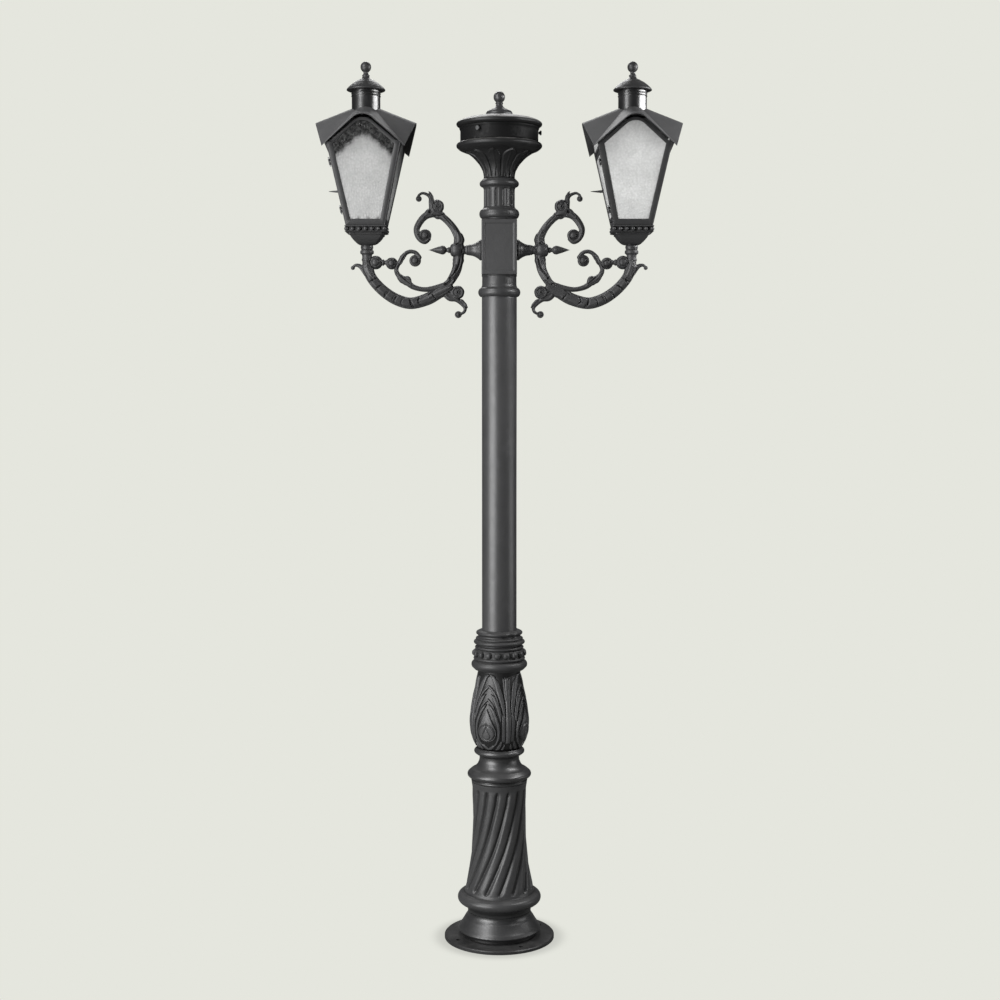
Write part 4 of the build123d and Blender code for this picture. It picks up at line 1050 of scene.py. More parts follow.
BR_STROKES = [
    ([(180, 3208), (193, 3201)], 3.4, 0.30), ([(220, 3179), (223, 3161)], 3.4, 0.30),
    ([(196, 3148), (212, 3145)], 3.2, 0.28), ([(166, 3180), (168, 3162)], 3.2, 0.28),
    ([(177, 3135), (183, 3108), (193, 3086), (209, 3066), (222, 3052)], 3.6, 0.36),
    ([(203, 3139), (209, 3106), (223, 3079), (242, 3054)], 3.4, 0.34),
    ([(226, 3013), (246, 3027)], 3.4, 0.30), ([(191, 3029), (212, 3018), (230, 3013)], 3.4, 0.30),
    ([(248, 3336), (262, 3331), (282, 3329), (300, 3331)], 3.0, 0.28), ([(322, 3352), (345, 3344), (364, 3326)], 2.8, 0.26),
    ([(214, 3288), (232, 3308), (252, 3326)], 2.8, 0.26), ([(290, 3384), (300, 3400), (304, 3420)], 2.4, 0.26),
    ([(222, 2986), (236, 2996), (246, 3006)], 2.8, 0.28), ([(404, 3026), (424, 3043), (444, 3062)], 2.8, 0.28),
    ([(452, 3100), (444, 3124), (430, 3146)], 2.4, 0.24),
]
BR_PITS = [(312, 3346, 7.0, 0.55), (221, 3049, 6.0, 0.5), (188.7, 2987, 3.6, 0.45), (280.5, 3371.5, 3.6, 0.4)]
BR = fused("bracket", bracket(), 1.7, 2)
# dark rings of painted shade, no groove, round the eyes, rosettes and hub
BR_RINGS = [(335, 3242, 18.0, 3.8, 0.95), (380.5, 3129, 16.6, 3.4, 0.9), (363, 3406, 8.4, 1.6, 0.6), (186, 2887, 10.0, 1.8, 0.6),
            (188.7, 2987, 17.5, 2.4, 0.55), (280.5, 3371.5, 18.0, 2.4, 0.5), (192, HUB_Z, 31.0, 2.6, 0.55)]
BRG, BRW = carve(mesh_geo(BR), BR_STROKES, BR_PITS, BR_RINGS)
# painted shade in the grooves, pits and rings carved into the brackets
add_float(piece("right_scroll_casting", BRG, CAST_FINE, "post", ["right_scroll_bracket"], sharp=None), "grime", BRW)
add_float(piece("left_scroll_casting", BRG.mirrored(), CAST_FINE, "post", ["left_scroll_bracket"], sharp=None), "grime", BRW)


def rope(s, ph):
    """Calyx at the root, then overlapping scales up to the socket; the back and belly stay smooth."""
    lips = [46.0, 112.0, 150.0, 192.0, 233.0, 273.0, 313.0, 352.0, 386.0, 420.0]
    c, sn = np.cos(ph), np.abs(np.sin(ph))
    face = smoothstep(sn, 0.28, 0.80)
    # each lip is a rounded tongue on the front and the rear
    q = s + 15.0 * np.abs(c) ** 2.0
    h = np.zeros_like(ph)
    for a, b in zip([0.0] + lips, lips):
        f = np.clip((q - a) / (b - a), 0, 1)
        inside = (q >= a) & (q < b)
        prof = -3.4 + 5.2 * f ** 0.8 - 7.5 * np.exp(-((q - a) / 3.2) ** 2)
        prof = prof + 1.0 * np.cos(7 * ph) * np.sin(PI * f) ** 0.5
        h = np.where(inside, prof, h)
    edge = -2.4 * np.exp(-((np.abs(c) - 0.80) / 0.07) ** 2) * (sn > 0.3)
    return h * face + edge + 1.0


def main_arm():
    parts = [limb(MAIN, 41, step=1.2, nphi=96, relief=rope, square=2.2),
             limb(HOOK, 24, relief=channel, step=1.6, nphi=40, depth_end=9),
             eye(662.5, 3097, 9.5, 8.5)]
    # root calyx that holds the arm behind the rosette
    parts.append(leaf([(222, 3010, 30), (246, 2998, 46), (274, 2984, 50), (300, 2972, 30), (318, 2962, 8)], 45))
    parts.append(leaf([(262, 2990, 26), (300, 2972, 50), (340, 2952, 46), (372, 2942, 12)], 44))
    # leaf cup under the socket
    parts.append(leaf([(566, 3046, 12), (584, 3070, 44), (594, 3096, 50), (598, 3116, 34), (599, 3126, 12)], 47))
    soc = revolve([(0, 3092), (20, 3094), (24.5, 3099), (24.5, 3104), (21.4, 3108), (21.4, 3126), (24.4, 3130), (24.4, 3136), (21.8, 3140), (22.2, 3152),
                   (24, 3157), (30, 3160), (30.8, 3163), (30.8, 3171), (29.4, 3175.4), (24, 3175.8), (0, 3175.8)], step=1.3, nang=96, soft=2)
    parts.append(soc.moved(dx=LX))
    return join(parts)


ARM_STROKES = [
    ([(256, 3013), (284, 3010), (300, 2992), (318, 2977)], 3.6, 0.34), ([(303, 2978), (295, 2966), (285, 2954)], 3.4, 0.30),
    ([(361, 2960), (368, 2950), (365, 2938)], 3.4, 0.30), ([(404, 2958), (400, 2938), (387, 2920)], 5.0, 0.34),
    ([(463, 2968), (474, 2953), (476, 2938)], 3.4, 0.26), ([(499, 2990), (514, 2976), (522, 2960)], 3.4, 0.26),
    ([(533, 3020), (550, 3008), (562, 2992)], 3.4, 0.26), ([(556, 3052), (574, 3040), (590, 3030)], 3.4, 0.26),
    ([(596, 3050), (610, 3076), (622, 3094)], 2.6, 0.24),
]
ARM = fused("arm", main_arm(), 1.5, 1)
ARMG, ARMW = carve(mesh_geo(ARM), ARM_STROKES)
# painted shade in the grooves carved into the arms
add_float(piece("right_arm_casting", ARMG, CAST_FINE, "post", ["right_main_arm"], sharp=None), "grime", ARMW)
add_float(piece("left_arm_casting", ARMG.mirrored(), CAST_FINE, "post", ["left_main_arm"], sharp=None), "grime", ARMW)


def knob(x, z, r):
    def rel(th, rr, zz):
        front = np.abs(zz) > 0.12 * r
        ring = -2.2 * np.exp(-((rr - 0.84 * r) / 1.6) ** 2) - 4.4 * np.exp(-((rr - 0.55 * r) / 2.6) ** 2)
        pet = 0.7 * np.cos(7 * th) * np.clip(1 - ((rr - 0.72 * r) / (0.12 * r)) ** 2, 0, 1)
        return front * (ring + pet)
    return sphere(x, 0, z, r, r * 0.95, n=96, relief=rel)


link = revolve([(0, 0), (12, 0), (12.6, 2), (10, 6), (10, 12), (14, 14), (15, 17), (14, 20), (10, 22), (10, 28), (0, 28)], step=1.0, nang=56, soft=2)
link = along_x(link, 508.0, 3121.0)
KN = fused("knobs", join([knob(486.5, 3116.8, 27.2), knob(558.5, 3121, 31.0), link,
                          limb([(462, 3112, 22), (478, 3117, 26), (490, 3119, 20)], 22, step=1.5)]), 1.3, 1)
# the rings round the two rosettes are painted shade alone, no groove
KNG, KNW = carve(mesh_geo(KN), [], [], [(486.5, 3116.8, 15.6, 4.0, 0.95), (558.5, 3121, 17.0, 2.6, 0.6), (558.5, 3121, 25.5, 1.8, 0.5)])
add_float(piece("right_link_rosettes", KNG, CAST_FINE, "post", ["right_link_knobs"], sharp=None), "grime", KNW)
add_float(piece("left_link_rosettes", KNG.mirrored(), CAST_FINE, "post", ["left_link_knobs"], sharp=None), "grime", KNW)

cone = revolve([(0, -3.4), (45, -3.4), (46.8, 2), (46.8, 5), (44.5, 8), ("a", (31, 27), (24.5, 52)), (24, 57.8), (0, 57.8)], step=1.4, nang=128, soft=2,
               relief=lambda th, r, z: -1.1 * np.exp(-((z - 12) / 1.5) ** 2) + 0 * th)
cone = along_x(cone, BLOCK_HI[0])
piece("right_cone_boss", cone, CAST, "post", ["right_arm_cone"])
piece("left_cone_boss", cone.mirrored(), CAST, "post", ["left_arm_cone"])

spear = revolve([(0, 0), (12, 0), (14, 1.5), (14, 8), (11.5, 10), (9.6, 14), (9.6, 17), ("a", (17.5, 28), (19, 37)), ("a", (12, 60), (6, 80)), (0, 99.6)],
                step=1.0, nang=96, soft=2,
                relief=lambda th, r, z: 1.1 * np.abs(np.cos(2 * th)) ** 3 * np.clip((z - 18) / 8, 0, 1) * np.clip((92 - z) / 30, 0, 1) * 1.6 - 0.5)
spear = along_x(spear, 222.0)
piece("right_spear", spear, CAST_FINE, "post", ["right_arm_spear"])
piece("left_spear", spear.mirrored(), CAST_FINE, "post", ["left_arm_spear"])

# ------------------------------------------------------------------ lanterns
BODY_Z0, HALF0 = 3281.0, 88.0
TA = math.tan(math.radians(12.1))
CA, SA = math.cos(math.radians(12.1)), math.sin(math.radians(12.1))
HOOD_Z, RIDGE, HOOD_T = 3830.0, 0.39, 5.5
SIDES = {"left": -LX, "right": LX}


def half(z):
    return HALF0 + TA * (z - BODY_Z0)


def gd(x):
    x = np.abs(np.asarray(x, float))
    return np.where(x < 40.5, 62.0 - np.sqrt(np.clip(62.0 ** 2 - np.minimum(x, 61.9) ** 2, 0, None)), 0.867 * x - 20.1)


def t_of(z):
    return (z - BODY_Z0) / CA


def on_face(P, deg):
    """(s, t, n) on a leaning face to x, y, z; n is outwards."""
    s, t, n = P[..., 0], P[..., 1], P[..., 2]
    V = np.stack([s, -HALF0 - SA * t - CA * n, BODY_Z0 + CA * t - SA * n], -1)
    a = math.radians(deg)
    c, q = math.cos(a), math.sin(a)
    return np.stack([c * V[..., 0] - q * V[..., 1], q * V[..., 0] + c * V[..., 1], V[..., 2]], -1)


def face_geo(g, deg):
    return Geo(on_face(g.V, deg), g.Q, g.T).out()


def arch_z(s, cut=0.4):
    """Top of the lantern body on its face, just under the hood."""
    return (HOOD_Z - HOOD_T - cut - gd(s) - RIDGE * HALF0 + RIDGE * TA * BODY_Z0) / (1 + RIDGE * TA)


def window_top(s, grow=0.0):
    return 3727.0 + grow * 1.3 - gd(s)


def meet(top, inset):
    """Where an arch meets the straight leaning side inset from the corner."""
    s = 60.0
    for _ in range(60):
        s = half(float(top(s))) - inset
    return s


def loop(corners, top, sr, counts):
    """Closed outline: bottom, right side, arch or straight top, left side; (s, t) with z turned to t."""
    (b0, z0) = corners
    nb, ns, na = counts
    z1 = float(top(sr))
    pts = [(-b0 + 2 * b0 * k / nb, z0) for k in range(nb)]
    pts += [(b0 + (sr - b0) * k / ns, z0 + (z1 - z0) * k / ns) for k in range(ns)]
    for k in range(na):
        s = sr * (1 - 2 * k / na)
        pts.append((s, float(top(s))))
    pts += [(-(sr + (b0 - sr) * k / ns), z1 + (z0 - z1) * k / ns) for k in range(ns)]
    P = np.array(pts)
    P[:, 1] = t_of(P[:, 1])
    return P


def ring_plate(outer, inner, depth, bev=1.3, bead=0.0):
    """Flat frame between two outlines with eased edges and an optional raised bead by the opening."""
    W = np.hypot(*(inner - outer).T)[:, None]
    D = (inner - outer) / W
    rows = [(0.0, -bev), (bev * 0.3, -bev * 0.3), (bev, 0.0)]
    if bead:
        rows += [(-6.4, 0.0), (-6.0, -0.7), (-5.5, 0.0), (-4.6, bead * 0.8), (-3.2, bead), (-1.8, bead * 0.75), (-0.7, 0.0)]
    else:
        rows += [(-bev, 0.0), (-bev * 0.3, -bev * 0.3)]
    rows += [(-1e-6, -bev), (-1e-6, -depth + bev), (-bev, -depth), (bev, -depth), (0.0, -depth + bev)]
    V = []
    for u, n in rows:
        off = (W + u) if (u < 0) else np.full_like(W, u)
        p = outer + D * off
        V.append(np.concatenate([p, np.full((len(p), 1), n)], 1))
    V = np.concatenate(V)
    m, n = len(rows), len(outer)
    i, j = np.meshgrid(np.arange(m), np.arange(n), indexing="ij")
    i2, j2 = (i + 1) % m, (j + 1) % n
    Q = np.stack([i * n + j, i * n + j2, i2 * n + j2, i2 * n + j], -1).reshape(-1, 4)
    return Geo(V, Q).out()


def slab(front, back):
    """Closed slab between two grids of the same size."""
    nr, nc = front.shape[:2]
    V = np.concatenate([front.reshape(-1, 3), back.reshape(-1, 3)])
    N = nr * nc
    i, j = np.meshgrid(np.arange(nr - 1), np.arange(nc - 1), indexing="ij")
    a = i * nc + j
    q1 = np.stack([a, a + 1, a + nc + 1, a + nc], -1).reshape(-1, 4)
    q2 = q1[:, ::-1] + N
    edge = np.concatenate([np.arange(nc - 1), (np.arange(nr - 1) * nc + nc - 1),
                           ((nr - 1) * nc + np.arange(nc - 1, 0, -1)), (np.arange(nr - 1, 0, -1) * nc)])
    nxt = np.roll(edge, -1)
    q3 = np.stack([edge, edge + N, nxt + N, nxt], -1)
    return Geo(V, np.concatenate([q1, q2, q3])).out()


def ripple(s, t, seed):
    """Hammered surface: overlapping soft dimples, the same every run."""
    rng = np.random.RandomState(seed)
    h = np.zeros(np.shape(s))
    for _ in range(22):
        a = rng.uniform(0, 2 * PI)
        L = rng.uniform(9.0, 22.0)
        h += np.cos((s * math.cos(a) + t * math.sin(a)) * 2 * PI / L + rng.uniform(0, 2 * PI))
    return h / 22 ** 0.5 * 0.30


def pane(z_low, low_half, side, top, n_front, n_back, seed, zmax=None, cell=3.4):
    """Glass between a straight sill and either an arch or a straight head."""
    z_hi = zmax if zmax is not None else float(top(0.0)) - 0.12
    zs = np.concatenate([np.linspace(z_low, z_hi - 8, int((z_hi - z_low) / cell)), z_hi - 8 + 8 * np.sin(np.linspace(0, PI / 2, 8))[1:]])
    w = []
    for z in zs:
        a = side(z)
        if zmax is None:
            # half width of the arch at this height
            lo, hi = 0.0, 200.0
            for _ in range(40):
                mid = (lo + hi) / 2
                if float(top(mid)) > z:
                    lo = mid
                else:
                    hi = mid
            a = min(a, max(lo, 0.6))
        w.append(a)
    w = np.array(w)
    nc = int(max(w) * 2 / cell)
    u = np.linspace(-1, 1, nc)
    S = w[:, None] * u[None, :]
    T = np.repeat(t_of(zs)[:, None], nc, 1)
    r1, r2 = ripple(S, T, seed), ripple(S, T, seed + 7)
    F = np.stack([S, T, n_front + r1], -1)
    B = np.stack([S, T, n_back + r2], -1)
    g = slab(F, B)
    Z = np.repeat(zs[:, None], nc, 1)
    if zmax is None:
        # att is the dark band of the glass: painted shade under the arch, a fainter band of painted shade lower down,
        # and darker patches along the sill
        gap = np.array([[float(top(s)) for s in row] for row in S]) - Z
    else:
        gap = np.full(S.shape, 90.0) + (zmax - Z) * 0.8
    low = np.clip(1 - (Z - z_low - 2.0) / 17.0, 0, 1) * np.clip(np.sin(S / 7.0 + seed), 0, 1) ** 0.5
    wob = 4.0 * np.sin(S / 12.0 + seed) * np.cos(Z / 13.0) + 1.6 * np.sin(S / 5.3 + 1.7 * seed) + 9.0 * ripple(S, T, seed + 3)
    att = 1 - np.clip((gap + wob - 46.0) / 44.0, 0, 1)
    att = np.clip(att * att * (3 - 2 * att) + 0.16 * np.exp(-((gap - 95) / 40) ** 2) + 0.7 * low, 0, 1)
    return g, np.concatenate([att.ravel(), att.ravel()])


N_RING = (26, 44, 84)
sr_out = meet(lambda s: arch_z(s), 0.0)
sr_in = meet(lambda s: window_top(s), 27.0)


def arch_low(s):
    """The frame's head stands clear under the vault and meets it at the corners."""
    k = min(max((sr_out - abs(float(s))) / 22.0, 0.0), 1.0)
    return float(arch_z(s)) - 9.5 * k * k * (3 - 2 * k)


outer_full = loop((HALF0, BODY_Z0), arch_low, sr_out, N_RING)
inner_full = loop((half(3308.0) - 27.0, 3308.0), lambda s: window_top(s), sr_in, N_RING)
face_plain = ring_plate(outer_full, inner_full, 12.0)
Z_MID = 3616.4
low_outer = loop((HALF0, BODY_Z0), lambda s: Z_MID, half(Z_MID), (26, 60, 40))
low_inner = loop((half(3298.5) - 20.0, 3298.5), lambda s: 3608.8, half(3608.8) - 20.0, (26, 60, 40))
face_door = ring_plate(low_outer, low_inner, 12.0, 1.0)
sr_l = sr_in
up_outer = loop((half(Z_MID), Z_MID), arch_low, sr_out, (40, 6, 84))
up_inner = loop((half(3624.0) - 27.0, 3624.0), lambda s: window_top(s), sr_l, (40, 6, 84))
face_light = ring_plate(up_outer, up_inner, 12.0, 1.0)


def corner_bar(a):
    """Slim round bead down each corner joint of the frame."""
    z0, z1 = BODY_Z0 + 1.0, float(arch_z(sr_out)) - 3.0
    n, k = 60, 16
    th = np.arange(k) * 2 * PI / k
    V = []
    for z in np.linspace(z0, z1, n):
        c = half(z) - 2.6
        V.append(np.stack([c + 3.0 * np.cos(th), -c + 3.0 * np.sin(th), np.full(k, z)], -1))
    V = np.concatenate(V + [np.array([[half(z0) - 2.6, -half(z0) + 2.6, z0], [half(z1) - 2.6, -half(z1) + 2.6, z1]])])
    i, j = np.meshgrid(np.arange(n - 1), np.arange(k), indexing="ij")
    j2 = (j + 1) % k
    Q = np.stack([i * k + j, i * k + j2, (i + 1) * k + j2, (i + 1) * k + j], -1).reshape(-1, 4)
    j = np.arange(k)
    j2 = (j + 1) % k
    T = np.concatenate([np.stack([j2, j, np.full(k, n * k)], -1), np.stack([(n - 1) * k + j, (n - 1) * k + j2, np.full(k, n * k + 1)], -1)])
    return Geo(V, Q, T).out().turned_z(a)


HINGE_OUT, JAMB = 6.5, 20.0
HDIR = np.array([-TA, -TA, 1.0])
HDIR /= np.linalg.norm(HDIR)


def hinge_origin(z):
    s = half(z) - JAMB - 0.75
    return np.array([-half(z) - CA * HINGE_OUT, -s, z - SA * HINGE_OUT])


def rod(p0, d, a0, a1, r, n=32):
    g = revolve([(0, a0), (r - 0.7, a0), (r, a0 + 0.7), (r, a1 - 0.7), (r - 0.7, a1), (0, a1)], step=1.0, nang=n, soft=1)
    d = np.array(d, float) / np.linalg.norm(d)
    x = np.cross(d, [0, 1, 0])
    x /= np.linalg.norm(x)
    y = np.cross(d, x)
    V = p0 + g.V[:, 0:1] * x + g.V[:, 1:2] * y + g.V[:, 2:3] * d
    return Geo(V, g.Q, g.T).out()


def hinge_leaf(z, lo, hi, sign):
    t = t_of(z)
    s_axis = half(z) - JAMB - 0.75
    lean = TA * CA
    e0, e1 = (t + lo, t + hi - 3.0) if sign > 0 else (t + lo + 3.0, t + hi)
    g = rounded_box(0.0 if sign > 0 else -13.0, 13.0 if sign > 0 else 0.0, e0, e1, 0.02, 1.8, 0.6)
    V = g.V.copy()
    V[:, 0] = s_axis + g.V[:, 0] + lean * (g.V[:, 1] - t)
    plate = face_geo(Geo(V, g.Q, g.T), 270)
    c = s_axis + sign * 8.0
    heads = []
    for tt in ((e0 * 0.72 + e1 * 0.28), (e0 * 0.28 + e1 * 0.72)):
        h = revolve([(0, 1.4), (2.6, 1.4), (2.5, 2.2), ("a", (1.6, 3.0), (0, 3.3))], step=0.5, nang=20, soft=0)
        hv = h.V + np.array([c + lean * (tt - t), tt, 0.0])
        heads.append(face_geo(Geo(hv, h.Q, h.T), 270))
    return join([plate] + heads)


body_bits, door_bits = [], []
for hz in (3350.0, 3555.0):
    o = hinge_origin(hz)
    body_bits += [rod(o, HDIR, -14.0, -0.5, 4.4), hinge_leaf(hz, -14.0, -0.4, 1)]
    door_bits += [rod(o, HDIR, 0.5, 14.0, 4.4), hinge_leaf(hz, 0.4, 14.0, -1)]

frame_g = join([face_geo(face_plain, 0), face_geo(face_plain, 90), face_geo(face_plain, 180),
                face_geo(face_door, 270), face_geo(face_light, 270)] + [corner_bar(a) for a in (0, 90, 180, 270)] + body_bits)


def door_loop(inset, z0, z1, counts=(26, 70, 34)):
    """Door outline; s > 0 is the hinge side."""
    nb, ns, nt = counts
    r0, r1 = half(z0) - JAMB - 1.5 - inset, half(z1) - JAMB - 1.5 - inset
    l0, l1 = -(half(z0) - JAMB - 2.5 - inset), -(half(z1) - JAMB - 2.5 - inset)
    P = [(l0 + (r0 - l0) * k / nb, z0) for k in range(nb)]
    P += [(r0 + (r1 - r0) * k / ns, z0 + (z1 - z0) * k / ns) for k in range(ns)]
    P += [(r1 + (l1 - r1) * k / nt, z1) for k in range(nt)]
    P += [(l1 + (l0 - l1) * k / ns, z1 + (z0 - z1) * k / ns) for k in range(ns)]
    P = np.array(P)
    P[:, 1] = t_of(P[:, 1])
    return P


door_ring = ring_plate(door_loop(0.0, 3303.0, 3604.0), door_loop(14.0, 3319.0, 3588.0), 12.0, 1.2)
LATCH_Z = 3451.0
LATCH_S = -(half(LATCH_Z) - JAMB - 2.5 - 7.0 + 1.6)
door_g = join([face_geo(door_ring, 270)] + door_bits)


def latch():
    g = revolve([(0, -15.3), (2.9, -15.3), (2.9, 0.5), (7.2, 0.5), (7.8, 1.2), (7.8, 3.4), (6.2, 5.0), (6.2, 8.6), (6.8, 10.0), (6.8, 12.0),
                 (5.8, 14.5), ("a", (4.2, 30), (2.4, 46)), (1.2, 55.0), (0, 55.9)], step=0.8, nang=40, soft=1)
    V = g.V.copy()
    V[:, 1] += np.clip(g.V[:, 2] - 9.0, 0, None) * TA
    V[:, 0] += LATCH_S
    V[:, 1] += t_of(LATCH_Z)
    spin = Geo(V, g.Q, g.T)
    t = t_of(LATCH_Z)
    tongue = rounded_box(LATCH_S - 4, LATCH_S + 4, t - 4.0, t + 14.5, -15.4, -12.6, 0.9)
    return join([face_geo(spin, 270), face_geo(tongue, 270)])


def hood():
    """Four-gabled vault of thin sheet, one closed skin from the chimney to the gable edges."""
    nu = 72
    ring_pts, outs = [], []
    for deg in (0, 90, 180, 270):
        a = math.radians(deg)
        for k in range(nu):
            u = -1 + 2 * k / nu
            e = 182.1
            X = e * u
            Yv = (182.0 + 0.364 * (209.0 - float(gd(X)))) / (1 + 0.364 * RIDGE)
            if abs(u) == 1.0:
                Yv = e
            al = u * PI / 4
            ring_pts.append((61.5 * math.sin(al), -61.5 * math.cos(al), a))
            outs.append((X, -Yv, a))
    I = np.array(ring_pts)
    O = np.array(outs)

    frontal = (np.abs(np.cos(I[:, 2])) > 0.5).astype(float)

    def top(x, y):
        x, y = np.abs(x), np.abs(y)
        lift = 12.5 * np.clip((y - 62.0) / 164.0, 0, 1) * np.clip(1 - (x / (y + 1e-6)) ** 2, 0, 1) * frontal
        return HOOD_Z + np.maximum(-gd(x) - RIDGE * y, -gd(y) - RIDGE * x) + lift

    v = np.concatenate([np.linspace(0, 0.985, 44), [0.996]])
    rows = []
    def put(f, dz, shrink=0.0):
        x = I[:, 0] + (O[:, 0] - I[:, 0]) * f
        y = I[:, 1] + (O[:, 1] - I[:, 1]) * f
        z = top(x, y) + dz
        rows.append((x, y, z))
    for f in v:
        put(f, 0.0)
    put(1.0, -0.9)
    put(1.0, -4.2)
    for f in [0.996] + list(v[-2::-1]):
        put(f, -HOOD_T)
    V = []
    ca, sa = np.cos(I[:, 2]), np.sin(I[:, 2])
    for x, y, z in rows:
        V.append(np.stack([ca * x - sa * y, sa * x + ca * y, z], -1))
    V = np.concatenate(V)
    m, n = len(rows), len(I)
    i, j = np.meshgrid(np.arange(m), np.arange(n), indexing="ij")
    i2, j2 = (i + 1) % m, (j + 1) % n
    Q = np.stack([i * n + j, i * n + j2, i2 * n + j2, i2 * n + j], -1).reshape(-1, 4)
    return Geo(V, Q).out()


hood_g = hood()
chim_g = revolve([(61, 3769), (63.4, 3769), (64, 3771), (64, 3854), (64.2, 3857.4), ("a", (66.5, 3860), (64.2, 3862.6)), (64, 3865), (64.2, 3868.4), ("a", (66.5, 3871), (64.2, 3873.6)),
                  (64, 3876), (64, 3883.6), (61, 3883.9)], inner=[(60.2, 3883.5), (60.2, 3769.5)], step=1.1, nang=160, soft=1)
cap_g = revolve([(0, 3884.2), (78, 3884.2), (83, 3884.0), (86.4, 3885.8), (86.8, 3888), (86.2, 3890.4), (84, 3893), ("a", (77.5, 3900), (71.5, 3905.2)), (70, 3907.6), (67, 3909.0),
                 ("a", (52, 3921), (37, 3929)), (34.5, 3931.6), (31, 3932.6), ("a", (21, 3938), (15, 3947)), (16.8, 3949.5), (16.8, 3953), (13.5, 3956), (10.6, 3961), (11.2, 3966.5),
                 (13.6, 3969.2), ("a", (23.9, 3990.5), (0, 4014.4))], step=1.0, nang=160, soft=1)


def square_loop(a, corner, k=7, n_side=10):
    """Rounded square outline of half width a."""
    r = min(corner, a * 0.9)
    pts = []
    for q in range(4):
        base = q * PI / 2
        for i in range(k):
            t = base + (i / (k - 1)) * PI / 2
            cx, cy = (a - r) * np.sign(math.cos(base + PI / 4)), (a - r) * np.sign(math.sin(base + PI / 4))
            pts.append((cx + r * math.cos(t), cy + r * math.sin(t)))
        nx = (a - r) * np.sign(math.cos(base + PI / 4 + PI / 2)), (a - r) * np.sign(math.sin(base + PI / 4 + PI / 2))
        e = (nx[0] + r * math.cos(base + PI / 2), nx[1] + r * math.sin(base + PI / 2))
        s = pts[-1]
        for i in range(1, n_side):
            f = i / n_side
            pts.append((s[0] + (e[0] - s[0]) * f, s[1] + (e[1] - s[1]) * f))
    return np.array(pts)


def square_tower(profile, corner, step=1.5, soft=2):
    P = soften(sample(profile, step), soft)
    rows = [np.concatenate([square_loop(a, corner), np.full((len(square_loop(a, corner)), 1), z)], 1) for a, z in P]
    n = len(rows[0])
    m = len(rows)
    V = np.concatenate(rows + [np.array([[0, 0, P[0, 1]], [0, 0, P[-1, 1]]])])
    i, j = np.meshgrid(np.arange(m - 1), np.arange(n), indexing="ij")
    j2 = (j + 1) % n
    Q = np.stack([i * n + j, i * n + j2, (i + 1) * n + j2, (i + 1) * n + j], -1).reshape(-1, 4)
    j = np.arange(n)
    j2 = (j + 1) % n
    T = np.concatenate([np.stack([j2, j, np.full(n, m * n)], -1), np.stack([(m - 1) * n + j, (m - 1) * n + j2, np.full(n, m * n + 1)], -1)])
    return Geo(V, Q, T).out()


def pan():
    parts = [square_tower([(60, 3274.6), (91, 3274.8), (92.9, 3276), (92.9, 3279.6), (91.6, 3280.8), (60, 3280.9)], 3.0, 1.0),
             square_tower([(60, 3256.2), (91.6, 3256.2), (92.6, 3255.2), (92.0, 3253.6), (84, 3251.0), (76, 3249.6), (75.6, 3246.2), (76.4, 3244.6), (75.8, 3242.0),
                           (71.5, 3240.4), (70.4, 3238.4), ("a", (63.5, 3227), (53, 3215)), ("a", (44, 3206.5), (34, 3201)), (30, 3199.9), (12, 3199.6)], 5.0, 1.0),
             rounded_box(-80, 80, -80, 80, 3253, 3277, 2.0)]
    bead = revolve([(0, 3256.6), (3.6, 3257.0), ("a", (8.9, 3265.4), (3.6, 3273.8)), (0, 3274.2)], step=0.7, nang=36, soft=1)
    for k in range(5):
        c = -57.0 + 28.5 * k
        for deg in (0, 90, 180, 270):
            parts.append(bead.moved(c, -85.0, 0).turned_z(deg))
    for sx in (-1, 1):
        for sy in (-1, 1):
            parts.append(bead.moved(sx * 85.5, sy * 85.5, 0))
    cup = revolve([(0, 3176.1), (24, 3176.1), (26, 3177.6), ("a", (28.3, 3188), (26, 3199)), (25, 3201), (0, 3201.2)], step=1.1, nang=96, soft=2,
                  relief=lambda th, r, z: -1.0 * np.exp(-((z - 3182.5) / 1.3) ** 2) + 0 * th)
    parts += [cup, revolve([(0, 3122.2), (15, 3122.2), (15.9, 3124), (15.9, 3176.4), (0, 3176.4)], step=3.0, nang=48, soft=0)]
    return join(parts)


